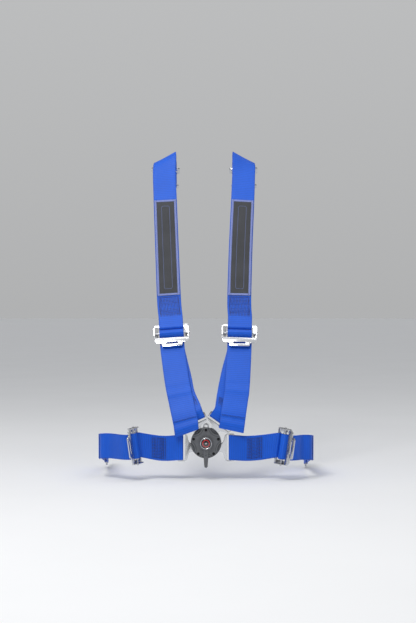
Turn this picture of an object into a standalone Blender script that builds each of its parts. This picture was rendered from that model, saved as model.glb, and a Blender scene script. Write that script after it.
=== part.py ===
"""Four-point racing harness with a rotary camlock buckle.

Origin: centre of the buckle's back plate (rear face).  +X is the wearer's
left, +Y points away from the front of the buckle into the seat, +Z is up.
All lengths in metres.
"""
import bpy
import bmesh
import math
from mathutils import Vector, Matrix
from mathutils.geometry import tessellate_polygon

for _o in list(bpy.data.objects):
    bpy.data.objects.remove(_o, do_unlink=True)

# ----------------------------------------------------------------- dimensions
WEB_W = 0.050            # webbing width (two-inch class)
WEB_T = 0.0015           # webbing thickness
GAP = 0.0003             # clearance between touching pieces

BODY_R = 0.0305          # buckle housing radius
BODY_FRONT = -0.0190     # y of the star-shaped face
STEP_FRONT = -0.0160     # y of the lower crescents at the rim
TONGUE_Y = -0.0080       # mid-plane of the tongues
TONGUE_T = 0.0030
LAP_Z = -0.0096          # height of the lap tongues
LAP_HOLE_X = 0.0190
SLOT_ANGLE = 55.5        # radial direction of the shoulder slots above horizontal
TONGUE_LEAN_L = 65.7     # direction of the left shoulder tongue above horizontal
TONGUE_LEAN_R = 55.0     # and of the right one
SLOT_TO_HOLE = 0.0096    # latch hole lies this far inside the rim
BAR_T = 0.0335           # webbing bar of a tongue, from its latch hole
BAR_HALF = 0.0045
SCREW_R = 0.0260         # radius of the face screws' circle

ADJ_HALF = 0.0365        # adjuster half width
BAR_B = 0.0180           # slider bar centre, along the adjuster
BAR_C = 0.0044           # slider bar centre, in front of the frame plane
BAR_R = 0.0042
BAR_SLACK = 0.0018       # room for the bar to lift off its clamp
TAB_ROOT = 0.0272
TAB_LEN = 0.0210
TAB_TILT = 12.0
LEAD = 0.0520            # webbing leaves the adjuster's own piece here

RECLINE = 23.0           # shoulder straps lean back from vertical


# ------------------------------------------------------------------ materials
def material(name, rgb, metallic, roughness):
    m = bpy.data.materials.new(name)
    m.use_nodes = True
    b = m.node_tree.nodes["Principled BSDF"]
    b.inputs["Base Color"].default_value = (*rgb, 1.0)
    b.inputs["Metallic"].default_value = metallic
    b.inputs["Roughness"].default_value = roughness
    m.diffuse_color = (*rgb, 1.0)
    return m


M_WEB = material("webbing", (0.012, 0.085, 0.62), 0.0, 0.62)
M_PATCH = material("label_panel", (0.035, 0.038, 0.045), 0.0, 0.6)
M_PLATE = material("plated_steel", (0.82, 0.83, 0.85), 1.0, 0.16)
M_BAR = material("knurled_steel", (0.62, 0.63, 0.66), 1.0, 0.32)
M_SHELL = material("gunmetal_shell", (0.075, 0.08, 0.086), 0.35, 0.42)
M_LEVER = material("gunmetal_lever", (0.09, 0.095, 0.10), 0.45, 0.38)
M_BEZEL = material("bezel", (0.8, 0.8, 0.82), 1.0, 0.1)
M_DOME = material("badge_dome", (0.02, 0.02, 0.024), 0.0, 0.08)
M_SCREW = material("black_screw", (0.03, 0.03, 0.032), 0.8, 0.4)
M_SPRING = material("spring_steel", (0.4, 0.41, 0.43), 1.0, 0.3)


# ------------------------------------------------------------- mesh utilities
def link(name, me, mat, smooth=35.0):
    ob = bpy.data.objects.new(name, me)
    bpy.context.scene.collection.objects.link(ob)
    if mat is not None:
        me.materials.clear()
        me.materials.append(mat)
    if smooth:
        me.shade_smooth()
        me.set_sharp_from_angle(angle=math.radians(smooth))
    return ob


def solid_mesh(verts, faces, name="m"):
    me = bpy.data.meshes.new(name)
    me.from_pydata([tuple(v) for v in verts], [], [tuple(f) for f in faces])
    bm = bmesh.new()
    bm.from_mesh(me)
    bmesh.ops.recalc_face_normals(bm, faces=bm.faces)
    bm.to_mesh(me)
    bm.free()
    me.update()
    return me


def prism(outline, holes, h0, h1, place):
    """Extrude a flat outline with holes from h0 to h1 along the third axis.

    place maps (a, b, h) to world coordinates.
    """
    loops = [list(outline)] + [list(h) for h in holes]
    flat = [p for lp in loops for p in lp]
    n = len(flat)
    tris = tessellate_polygon([[Vector((p[0], p[1], 0.0)) for p in lp] for lp in loops])
    verts = [place(p[0], p[1], h0) for p in flat] + [place(p[0], p[1], h1) for p in flat]
    faces = []
    for t in tris:
        faces.append((t[0], t[1], t[2]))
        faces.append((t[2] + n, t[1] + n, t[0] + n))
    base = 0
    for lp in loops:
        k = len(lp)
        for i in range(k):
            j = (i + 1) % k
            faces.append((base + i, base + j, base + j + n, base + i + n))
        base += k
    return solid_mesh(verts, faces)


def circle(r, n, cx=0.0, cy=0.0, ph=0.0):
    return [(cx + r * math.cos(ph + 2 * math.pi * i / n), cy + r * math.sin(ph + 2 * math.pi * i / n))
            for i in range(n)]


def round_poly(pts, radii, seg=3):
    """Round each corner of a polygon with its own radius."""
    out = []
    n = len(pts)
    for i in range(n):
        p = Vector(pts[i])
        a = (Vector(pts[i - 1]) - p)
        b = (Vector(pts[(i + 1) % n]) - p)
        r = radii[i] if isinstance(radii, (list, tuple)) else radii
        if r <= 0:
            out.append((p.x, p.y))
            continue
        la, lb = a.length, b.length
        a.normalize()
        b.normalize()
        ang = math.acos(max(-1, min(1, a.dot(b))))
        d = min(r / math.tan(ang / 2), la * 0.49, lb * 0.49)
        rr = d * math.tan(ang / 2)
        bis = (a + b).normalized()
        c = p + bis * (rr / math.sin(ang / 2))
        s = p + a * d
        e = p + b * d
        a0 = math.atan2(s.y - c.y, s.x - c.x)
        a1 = math.atan2(e.y - c.y, e.x - c.x)
        da = (a1 - a0 + math.pi) % (2 * math.pi) - math.pi
        for k in range(seg + 1):
            t = a0 + da * k / seg
            out.append((c.x + rr * math.cos(t), c.y + rr * math.sin(t)))
    return out


def lathe(profile, n, place):
    """Closed profile of (r, h) points turned about the axis; r may touch 0."""
    verts = []
    rings = []
    for r, h in profile:
        if r < 1e-9:
            rings.append([len(verts)])
            verts.append(place(0.0, 0.0, h))
        else:
            rings.append(list(range(len(verts), len(verts) + n)))
            for i in range(n):
                t = 2 * math.pi * i / n
                verts.append(place(r * math.cos(t), r * math.sin(t), h))
    faces = []
    m = len(profile)
    for k in range(m):
        A, B = rings[k], rings[(k + 1) % m]
        if len(A) == 1 and len(B) == 1:
            continue
        for i in range(n):
            j = (i + 1) % n
            if len(A) == 1:
                faces.append((A[0], B[j], B[i]))
            elif len(B) == 1:
                faces.append((A[i], A[j], B[0]))
            else:
                faces.append((A[i], A[j], B[j], B[i]))
    return solid_mesh(verts, faces)


def boolean(me, others, op):
    """Apply exact booleans with temporary objects and give the new mesh."""
    for other in others:
        a = bpy.data.objects.new("tmp_a", me)
        b = bpy.data.objects.new("tmp_b", other)
        bpy.context.scene.collection.objects.link(a)
        bpy.context.scene.collection.objects.link(b)
        md = a.modifiers.new("cut", "BOOLEAN")
        md.operation = op
        md.solver = "EXACT"
        md.object = b
        bpy.context.view_layer.update()
        dg = bpy.context.evaluated_depsgraph_get()
        me = bpy.data.meshes.new_from_object(a.evaluated_get(dg))
        bpy.data.objects.remove(a, do_unlink=True)
        bpy.data.objects.remove(b, do_unlink=True)
        bm = bmesh.new()
        bm.from_mesh(me)
        bmesh.ops.remove_doubles(bm, verts=bm.verts, dist=4e-6)
        bmesh.ops.dissolve_degenerate(bm, edges=bm.edges, dist=2e-6)
        bm.to_mesh(me)
        bm.free()
    return me


# ------------------------------------------------------------ webbing utilities
def catmull(vals, t):
    """Value of a Catmull-Rom curve through vals at parameter t in segments."""
    n = len(vals)
    i = max(0, min(n - 2, int(math.floor(t))))
    u = t - i
    p1, p2 = vals[i], vals[i + 1]
    p0 = vals[i - 1] if i > 0 else p1 * 2 - p2
    p3 = vals[i + 2] if i + 2 < n else p2 * 2 - p1
    return 0.5 * ((p1 * 2) + (p2 - p0) * u + (p0 * 2 - p1 * 5 + p2 * 4 - p3) * u * u
                  + (p1 * 3 - p0 - p2 * 3 + p3) * u * u * u)


class Strip:
    """A webbing route: points and half-width vectors, measured by arc length."""

    def __init__(self, ctrl, start=0.0, per=24, square_from=1e9):
        pts = [Vector(c[0]) for c in ctrl]
        hws = [Vector(c[1]) for c in ctrl]
        self.P, self.H = [], []
        for i in range((len(pts) - 1) * per + 1):
            t = i / per
            self.P.append(catmull(pts, t))
            self.H.append(catmull(hws, t))
        self.L = [start]
        for a, b in zip(self.P, self.P[1:]):
            self.L.append(self.L[-1] + (b - a).length)
        self.end = self.L[-1]
        self.square_from = square_from

    def at(self, l):
        L = self.L
        if l <= L[0]:
            k, u = 0, (l - L[0]) / (L[1] - L[0])
        elif l >= L[-1]:
            k = len(L) - 2
            u = (l - L[k]) / (L[k + 1] - L[k])
        else:
            lo, hi = 0, len(L) - 1
            while hi - lo > 1:
                mid = (lo + hi) // 2
                if L[mid] <= l:
                    lo = mid
                else:
                    hi = mid
            k, u = lo, (l - L[lo]) / (L[lo + 1] - L[lo])
        p = self.P[k].lerp(self.P[k + 1], u)
        h = self.H[k].lerp(self.H[k + 1], u)
        a = self.P[max(0, k - 1)]
        b = self.P[min(len(self.P) - 1, k + 2)]
        t = (b - a).normalized()
        if l > self.square_from:
            w = min(1.0, (l - self.square_from) / 0.02)
            q = (h - t * h.dot(t)).normalized() * (WEB_W / 2)
            h = h.lerp(q, w)
        n = t.cross(h).normalized()
        return p, h, n, t

    def point(self, l, c):
        """Point at length l, lifted by c along the strip's face normal."""
        p, h, n, t = self.at(l)
        return p + n * c, h


def ribbon(cs, hs, thick, name="web"):
    """Closed strip of webbing through centres cs with half-width vectors hs."""
    n = len(cs)
    verts = []
    for i in range(n):
        a = cs[max(0, i - 1)]
        b = cs[min(n - 1, i + 1)]
        t = (b - a).normalized()
        nn = t.cross(hs[i]).normalized() * (thick / 2)
        p, h = cs[i], hs[i]
        verts += [p - h - nn, p + h - nn, p + h + nn, p - h + nn]
    faces = []
    for i in range(n - 1):
        o, q = 4 * i, 4 * (i + 1)
        for k in range(4):
            j = (k + 1) % 4
            faces.append((o + k, o + j, q + j, q + k))
    faces.append((0, 1, 2, 3))
    e = 4 * (n - 1)
    faces.append((e + 3, e + 2, e + 1, e))
    return solid_mesh(verts, faces, name)


def follow(strip, path, thick=WEB_T, scale=1.0, name="web"):
    """Ribbon along (l, c) points of a strip; c lifts it off the strip's face."""
    cs, hs = [], []
    for l, c in path:
        p, h = strip.point(l, c)
        cs.append(p)
        hs.append(h * scale)
    return ribbon(cs, hs, thick, name)


def arc(l0, c0, r, a0, a1, n):
    """Points of an arc in the (l, c) plane about (l0, c0)."""
    return [(l0 + r * math.cos(math.radians(a0 + (a1 - a0) * i / n)),
             c0 + r * math.sin(math.radians(a0 + (a1 - a0) * i / n))) for i in range(n + 1)]


def span(a, b, n, c):
    return [(a + (b - a) * i / n, c) for i in range(n + 1)]


def tongue_seat(side):
    """Latch hole and outward direction of a shoulder tongue."""
    a = math.radians(SLOT_ANGLE)
    q = Vector((side * BODY_R * math.cos(a), 0.0, BODY_R * math.sin(a)))
    b = math.radians(TONGUE_LEAN_L if side < 0 else TONGUE_LEAN_R)
    u = Vector((side * math.cos(b), 0.0, math.sin(b)))
    return q - u * SLOT_TO_HOLE, u


# --------------------------------------------------------------- buckle (root)
def yplace(x, z, y):
    return Vector((x, y, z))


def build_buckle():
    # back plate: steel disc with a small lug above the housing
    outline = []
    lug_c, lug_r = 0.0312, 0.0062
    a_cut = math.asin((lug_r * 0.86) / (BODY_R - 0.0010))
    n = 36
    for i in range(n + 1):
        t = math.pi / 2 + a_cut + (2 * math.pi - 2 * a_cut) * i / n
        outline.append(((BODY_R - 0.0010) * math.cos(t), (BODY_R - 0.0010) * math.sin(t)))
    for i in range(1, 10):
        t = math.radians(-35 + 250 * i / 10)
        outline.append((lug_r * math.cos(t), lug_c + 0.001 + lug_r * math.sin(t)))
    holes = [circle(0.0030, 12, 0.0, lug_c + 0.0012)]
    for k in range(5):
        t = math.radians(90 + 72 * k)
        holes.append(circle(0.0017, 8, SCREW_R * math.cos(t), SCREW_R * math.sin(t)))
    link("buckle_back_plate", prism(outline, holes, 0.0, -0.0020, yplace), M_PLATE)

    # housing: round cup, star-shaped raised face, screw bosses, tongue slots
    n = 44
    cup = lathe([(0.0, -0.0023), (BODY_R, -0.0023), (BODY_R, STEP_FRONT + 0.0012),
                 (BODY_R - 0.0012, STEP_FRONT), (0.0, STEP_FRONT)], n, yplace)
    star = []
    m = 60
    for i in range(m):
        t = 2 * math.pi * i / m
        r = BODY_R - 0.0009
        for k in range(5):
            a = math.radians(54 + 72 * k)
            d, q = 0.0400, 0.0148
            dt = t - a
            s = d * math.sin(dt)
            if abs(s) < q and math.cos(dt) > 0:
                r = min(r, d * math.cos(dt) - math.sqrt(q * q - s * s))
        star.append((r * math.cos(t), r * math.sin(t)))
    face = prism(star, [], -0.0142, BODY_FRONT, yplace)
    body = boolean(cup, [face], "UNION")
    cavity = lathe([(0.0, 0.0010), (0.0272, 0.0010), (0.0272, -0.0135), (0.0, -0.0135)], 30, yplace)
    body = boolean(body, [cavity], "DIFFERENCE")
    bosses = []
    for k in range(5):
        t = math.radians(90 + 72 * k)
        cx, cz = SCREW_R * math.cos(t), SCREW_R * math.sin(t)
        bosses.append(prism(circle(0.0028, 8, cx, cz, 0.2), [], -0.0027, -0.0146, yplace))
    body = boolean(body, bosses, "UNION")
    cuts = [lathe([(0.0, -0.0100), (0.0120, -0.0100), (0.0120, -0.0165), (0.0, -0.0165)], 20, yplace),
            lathe([(0.0, -0.0100), (0.0066, -0.0100), (0.0066, -0.0210), (0.0, -0.0210)], 20, yplace)]
    for a, half in ((SLOT_ANGLE, 0.0115), (180 - SLOT_ANGLE, 0.0115), (270, 0.0100)):
        t = math.radians(a)
        ux, uz = math.cos(t), math.sin(t)
        box = []
        for r, w in ((0.0215, -half), (0.0400, -half), (0.0400, half), (0.0215, half)):
            box.append((r * ux - w * uz, r * uz + w * ux))
        cuts.append(prism(box, [], -0.0056, -0.0104, yplace))
    for sgn in (1, -1):
        box = [(sgn * 0.0185, LAP_Z - 0.0093), (sgn * 0.0400, LAP_Z - 0.0093),
               (sgn * 0.0400, LAP_Z + 0.0093), (sgn * 0.0185, LAP_Z + 0.0093)]
        cuts.append(prism(box, [], -0.0056, -0.0104, yplace))
    for k in range(5):
        t = math.radians(90 + 72 * k)
        cx, cz = SCREW_R * math.cos(t), SCREW_R * math.sin(t)
        cuts.append(prism(circle(0.0017, 6, cx, cz), [], 0.0010, -0.0210, yplace))
        cuts.append(prism(circle(0.0032, 8, cx, cz), [], -0.0168, -0.0210, yplace))
    body = boolean(body, cuts, "DIFFERENCE")
    link("buckle_housing", body, M_SHELL)

    for k in range(5):
        t = math.radians(90 + 72 * k)
        cx, cz = SCREW_R * math.cos(t), SCREW_R * math.sin(t)

        def pl(x, z, y, cx=cx, cz=cz):
            return Vector((cx + x, y, cz + z))
        link("face_screw_%d" % (k + 1),
             lathe([(0.0, -0.0004), (0.0013, -0.0004), (0.0013, -0.0164), (0.0013, -0.0171),
                    (0.0027, -0.0171), (0.0027, -0.0180), (0.0019, -0.0184), (0.0, -0.0184)], 10, pl), M_SCREW)

    link("spindle_post", lathe([(0.0, -0.0023), (0.0028, -0.0023), (0.0028, -0.0200), (0.0, -0.0200)], 16, yplace), M_PLATE)
    link("spindle_screw", lathe([(0.0, -0.0203), (0.0042, -0.0203), (0.0045, -0.0208), (0.0040, -0.0217), (0.0, -0.0217)],
                                16, yplace), M_SCREW)

    def pinp(x, z, y):
        return Vector((LAP_HOLE_X + x, y, LAP_Z + z))
    link("fixed_tongue_pin", lathe([(0.0, -0.0023), (0.0030, -0.0023), (0.0030, -0.0130), (0.0, -0.0130)], 16, pinp), M_PLATE)

    # latch spider: spring-steel ring with four fingers, each ending in a peg
    ring = prism(circle(0.0106, 20), [circle(0.0074, 16)], -0.0108, -0.0118, yplace)
    arms, pegs = [], []
    targets = [(0.0, -0.0209), (-LAP_HOLE_X, LAP_Z)]
    for sd in (1, -1):
        q, _u = tongue_seat(sd)
        targets.append((q.x, q.z))
    for tx, tz in targets:
        L = math.hypot(tx, tz)
        ux, uz = tx / L, tz / L
        box = [(r * ux - w * uz, r * uz + w * ux)
               for r, w in ((0.0088, -0.0030), (L + 0.0024, -0.0026), (L + 0.0024, 0.0026), (0.0088, 0.0030))]
        arms.append(prism(box, [], -0.01075, -0.01175, yplace))

        def pp(x, z, y, tx=tx, tz=tz):
            return Vector((tx + x, y, tz + z))
        pegs.append(lathe([(0.0, -0.0064), (0.0020, -0.0064), (0.0024, -0.0070), (0.0024, -0.0112), (0.0, -0.0112)], 8, pp))
    link("latch_spider", boolean(ring, arms + pegs, "UNION"), M_SPRING)

    # torsion return spring round the lever's hub
    turns, seg, sides = 2.6, 12, 5
    R, w = 0.0088, 0.0006
    steps = int(turns * seg)
    verts, faces = [], []
    for i in range(steps + 1):
        t = 2 * math.pi * i / seg
        y = -0.0128 - 0.0026 * i / steps
        er = Vector((math.cos(t), 0, math.sin(t)))
        for k in range(sides):
            q = 2 * math.pi * k / sides
            verts.append(er * (R + w * math.cos(q)) + Vector((0, y + w * math.sin(q), 0)))
    for i in range(steps):
        for k in range(sides):
            j = (k + 1) % sides
            faces.append((i * sides + k, i * sides + j, (i + 1) * sides + j, (i + 1) * sides + k))
    faces.append(tuple(range(sides)))
    faces.append(tuple(reversed(range(steps * sides, steps * sides + sides))))
    link("torsion_spring", solid_mesh(verts, faces), M_SPRING)


def build_lever():
    # ring boss with recess, arm hanging down, hub through the housing
    ring = lathe([(0.0, -0.0193), (0.0136, -0.0193), (0.0140, -0.0200), (0.0140, -0.0236), (0.0130, -0.0247), (0.0, -0.0247)],
                 28, yplace)
    arm = round_poly([(0.0066, 0.0), (0.0055, -0.0180), (0.0033, -0.0485), (-0.0033, -0.0485), (-0.0055, -0.0180), (-0.0066, 0.0)],
                     [0, 0.010, 0.0024, 0.0024, 0.010, 0], 4)
    armm = prism(arm, [], -0.0195, -0.0232, yplace)
    hub = lathe([(0.0, -0.0029), (0.0060, -0.0029), (0.0060, -0.0200), (0.0, -0.0200)], 24, yplace)
    body = boolean(ring, [armm, hub], "UNION")
    bore = lathe([(0.0, 0.0010), (0.0032, 0.0010), (0.0032, -0.0215), (0.0, -0.0215)], 16, yplace)
    recess = lathe([(0.0, -0.0200), (0.0055, -0.0200), (0.0055, -0.0222), (0.0118, -0.0222), (0.0118, -0.0260), (0.0, -0.0260)],
                   26, yplace)
    body = boolean(body, [bore, recess], "DIFFERENCE")
    link("release_lever", body, M_LEVER)
    cam = []
    for i in range(50):
        t = 2 * math.pi * i / 50
        r = 0.0152 + 0.0012 * math.cos(5 * t + 0.6)
        cam.append((r * math.cos(t), r * math.sin(t)))
    link("cam_disc", prism(cam, [circle(0.0063, 24)], -0.0027, -0.0052, yplace), M_PLATE)
    link("bezel_ring", lathe([(0.0099, -0.0226), (0.0115, -0.0226), (0.0115, -0.0250), (0.0108, -0.0258), (0.0099, -0.0256)],
                             28, yplace), M_BEZEL)
    prof = [(0.0, -0.0228), (0.0096, -0.0228), (0.0096, -0.0246)]
    for i in range(1, 5):
        t = math.radians(90 * i / 5)
        prof.append((0.0096 * math.cos(t), -0.0246 - 0.0024 * math.sin(t)))
    prof.append((0.0, -0.0270))
    link("badge_dome", lathe(prof, 22, yplace), M_DOME)


# ------------------------------------------------------------------- tongues
def tongue_outline():
    half = [(-0.0065, 0.0050), (-0.0030, 0.0088), (0.0108, 0.0088), (0.0146, 0.0108), (0.0162, 0.0150),
            (0.0172, 0.0200), (0.0190, 0.0248), (0.0232, 0.0276), (0.0358, 0.0278), (0.0380, 0.0260)]
    return half + [(t, -w) for t, w in reversed(half)]


def build_tongue(name, origin, along):
    u = Vector(along).normalized()
    side = Vector((0, 1, 0)).cross(u)

    def place(t, w, h):
        return Vector(origin) + u * t + side * w + Vector((0, h, 0))
    b0 = BAR_T - BAR_HALF
    slot = round_poly([(b0 - 0.0060, -0.0257), (b0, -0.0257), (b0, 0.0257), (b0 - 0.0060, 0.0257)], 0.0006, 1)
    me = prism(tongue_outline(), [circle(0.0034, 12), slot], TONGUE_Y - TONGUE_T / 2, TONGUE_Y + TONGUE_T / 2, place)
    link(name, me, M_PLATE)


# ------------------------------------------------------------------ adjusters
def adjuster_mesh():
    """Frame in its own coordinates: a across, b towards the tab, c forwards."""
    def flat(a, b, c):
        return Vector((a, b, c))
    A = ADJ_HALF
    base = round_poly([(-A, -0.0026), (A, -0.0026), (A, 0.0290), (0.0283, 0.0290), (0.0283, 0.0026),
                       (-0.0283, 0.0026), (-0.0283, 0.0290), (-A, 0.0290)],
                      [0.004, 0.004, 0, 0, 0.002, 0.002, 0, 0], 3)
    me = prism(base, [], -0.0011, 0.0011, flat)
    parts = []
    for s in (1, -1):
        def side(b, c, a, s=s):
            return Vector((s * a, b, c))
        wall = round_poly([(0.0010, -0.0009), (0.0300, -0.0009), (0.0300, 0.0065), (0.0240, 0.0105), (0.0060, 0.0105), (0.0010, 0.0060)],
                          [0, 0, 0.002, 0.002, 0.003, 0.002], 2)
        hole = round_poly([(BAR_B - 0.0042, BAR_C - 0.0025), (BAR_B + 0.0025, BAR_C - 0.0025),
                           (BAR_B + 0.0025, BAR_C + 0.0025), (BAR_B - 0.0042, BAR_C + 0.0025)], 0.0020, 2)
        parts.append(prism(wall, [hole], A - 0.0024, A - 0.0002, side))
    ct, st = math.cos(math.radians(TAB_TILT)), math.sin(math.radians(TAB_TILT))

    def tab(a, t, h):
        return Vector((a, TAB_ROOT + t * ct - h * st, 0.0034 + t * st + h * ct))
    plate = round_poly([(-A + 0.001, 0.0), (A - 0.001, 0.0), (A - 0.001, 0.0060), (A - 0.0055, 0.0125), (0.0215, 0.0125), (0.0208, TAB_LEN),
                        (-0.0208, TAB_LEN), (-0.0215, 0.0125), (-A + 0.0055, 0.0125), (-A + 0.001, 0.0060)],
                       [0, 0, 0.002, 0.003, 0.002, 0.003, 0.003, 0.002, 0.003, 0.002], 2)
    slot = round_poly([(-0.0130, 0.0108), (0.0130, 0.0108), (0.0130, 0.0152), (-0.0130, 0.0152)], 0.0020, 2)
    parts.append(prism(plate, [slot], -0.0011, 0.0011, tab))
    return boolean(me, parts, "UNION")


def bar_mesh():
    def pl(y, z, x):
        return Vector((x, BAR_B + y, BAR_C + z))
    return lathe([(0.0, -0.0385), (0.0020, -0.0385), (0.0020, -0.0275), (BAR_R, -0.0272), (BAR_R, 0.0272),
                  (0.0020, 0.0275), (0.0020, 0.0385), (0.0, 0.0385)], 16, pl)


class Frame:
    """An adjuster's placement: origin at the crossbar, V across, U to the tab, N forwards."""

    def __init__(self, origin, u, v):
        self.O = Vector(origin)
        self.U = Vector(u).normalized()
        v = Vector(v)
        self.V = (v - self.U * v.dot(self.U)).normalized()
        self.N = self.V.cross(self.U)

    def p(self, a, b, c):
        return self.O + self.V * a + self.U * b + self.N * c

    def matrix(self):
        return Matrix(((self.V.x, self.U.x, self.N.x, self.O.x),
                       (self.V.y, self.U.y, self.N.y, self.O.y),
                       (self.V.z, self.U.z, self.N.z, self.O.z),
                       (0, 0, 0, 1)))


WRAP_R = BAR_R + GAP + WEB_T / 2
LOOP_R = 0.0040          # sewn loop round a crossbar, centre line
SLIDE_OUT, SLIDE_IN, SLIDE_MID, SLIDE_T = 0.0200, 0.0150, 0.0040, 0.0024
SLIDE_C = 0.00315        # slide's mid-plane above the doubled strap's middle


def slide_wave():
    """Middle of the doubled strap through a three-bar slide: under, over, under."""
    r = SLIDE_T / 2 + 0.0
    R = 0.00220
    lo = -SLIDE_T / 2 - R
    a = math.hypot(SLIDE_IN - SLIDE_MID, SLIDE_T)
    th = math.degrees(math.atan2(SLIDE_T, SLIDE_IN - SLIDE_MID) + math.asin(2 * R / a))
    half = []
    for k in range(4):
        q = math.radians(90 - th * k / 3)
        half.append((SLIDE_MID + R * math.cos(q), r + R * math.sin(q)))
    for k in range(4):
        q = math.radians(270 - th * (1 - k / 3))
        half.append((SLIDE_IN + R * math.cos(q), -r + R * math.sin(q)))
    half.append((0.0260, lo))
    right = [(0.0, -lo)] + half
    left = [(-b, c) for b, c in reversed(half)]
    return [(b, c + SLIDE_C) for b, c in left + right]


def offset_line(pts, d):
    out = []
    n = len(pts)
    for i in range(n):
        a, b = pts[max(0, i - 1)], pts[min(n - 1, i + 1)]
        dx, dy = b[0] - a[0], b[1] - a[1]
        L = math.hypot(dx, dy)
        out.append((pts[i][0] - dy / L * d, pts[i][1] + dx / L * d))
    return out


def wrap_points():
    """Webbing through an adjuster, in its (b, c) plane: up behind the bar, over it, out behind the tab."""
    back = BAR_C - WRAP_R
    top = BAR_B - BAR_SLACK
    pts = [(0.0300, back), (0.0240, back), (BAR_B, back)]
    pts += [(top + WRAP_R * math.cos(math.radians(a)), BAR_C + WRAP_R * math.sin(math.radians(a)))
            for a in (-90, -112, -135, -158, -180, -202, -225, -248, -270)]
    for a in (90, 68, 46, 28):
        pts.append((BAR_B + WRAP_R * math.cos(math.radians(a)), BAR_C + WRAP_R * math.sin(math.radians(a))))
    pts += [(0.0252, 0.0026), (0.0268, 0.0013), (0.0300, back + 0.0018)]
    return pts


def build_adjuster(name, frame, frame_mesh, bar):
    ob = link(name + "_frame", frame_mesh, M_PLATE)
    ob.matrix_world = frame.matrix()
    ob = link(name + "_bar", bar, M_BAR)
    ob.matrix_world = frame.matrix()


# --------------------------------------------------------------------- anchors
def build_anchor(name, origin, u, v):
    """Bolt-in plate; origin is the middle of its webbing bar, u points to the bolt."""
    f = Frame(origin, u, v)

    def place(t, w, h):
        return f.p(w, t, h)
    half = [(-0.0040, 0.0270), (-0.0010, 0.0300), (0.0100, 0.0300), (0.0180, 0.0270), (0.0270, 0.0180), (0.0300, 0.0152)]
    tip = [(0.0340 + 0.0152 * math.sin(math.radians(a)), 0.0152 * math.cos(math.radians(a))) for a in (20, 40, 60, 80)]
    outline = half + tip
    outline = outline + [(t, -w) for t, w in reversed(outline)]
    slot = round_poly([(0.0042, -0.0260), (0.0102, -0.0260), (0.0102, 0.0260), (0.0042, 0.0260)], 0.0006, 1)
    link(name, prism(outline, [slot, circle(0.0058, 16, 0.0340, 0.0)], -0.0015, 0.0015, place), M_PLATE)
    return f


def anchor_loop(strip, l_end, back_len, offset=0.0):
    """Path round the anchor's bar at l_end: out in front, back behind."""
    r = 0.0015 + GAP + WEB_T / 2 + 0.0003
    lc = l_end + 0.0042 - 0.0012
    return arc(lc, 0.0, r, 90, -90, 6) + [(l_end - back_len * k / 5, -r) for k in range(1, 6)]


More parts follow.
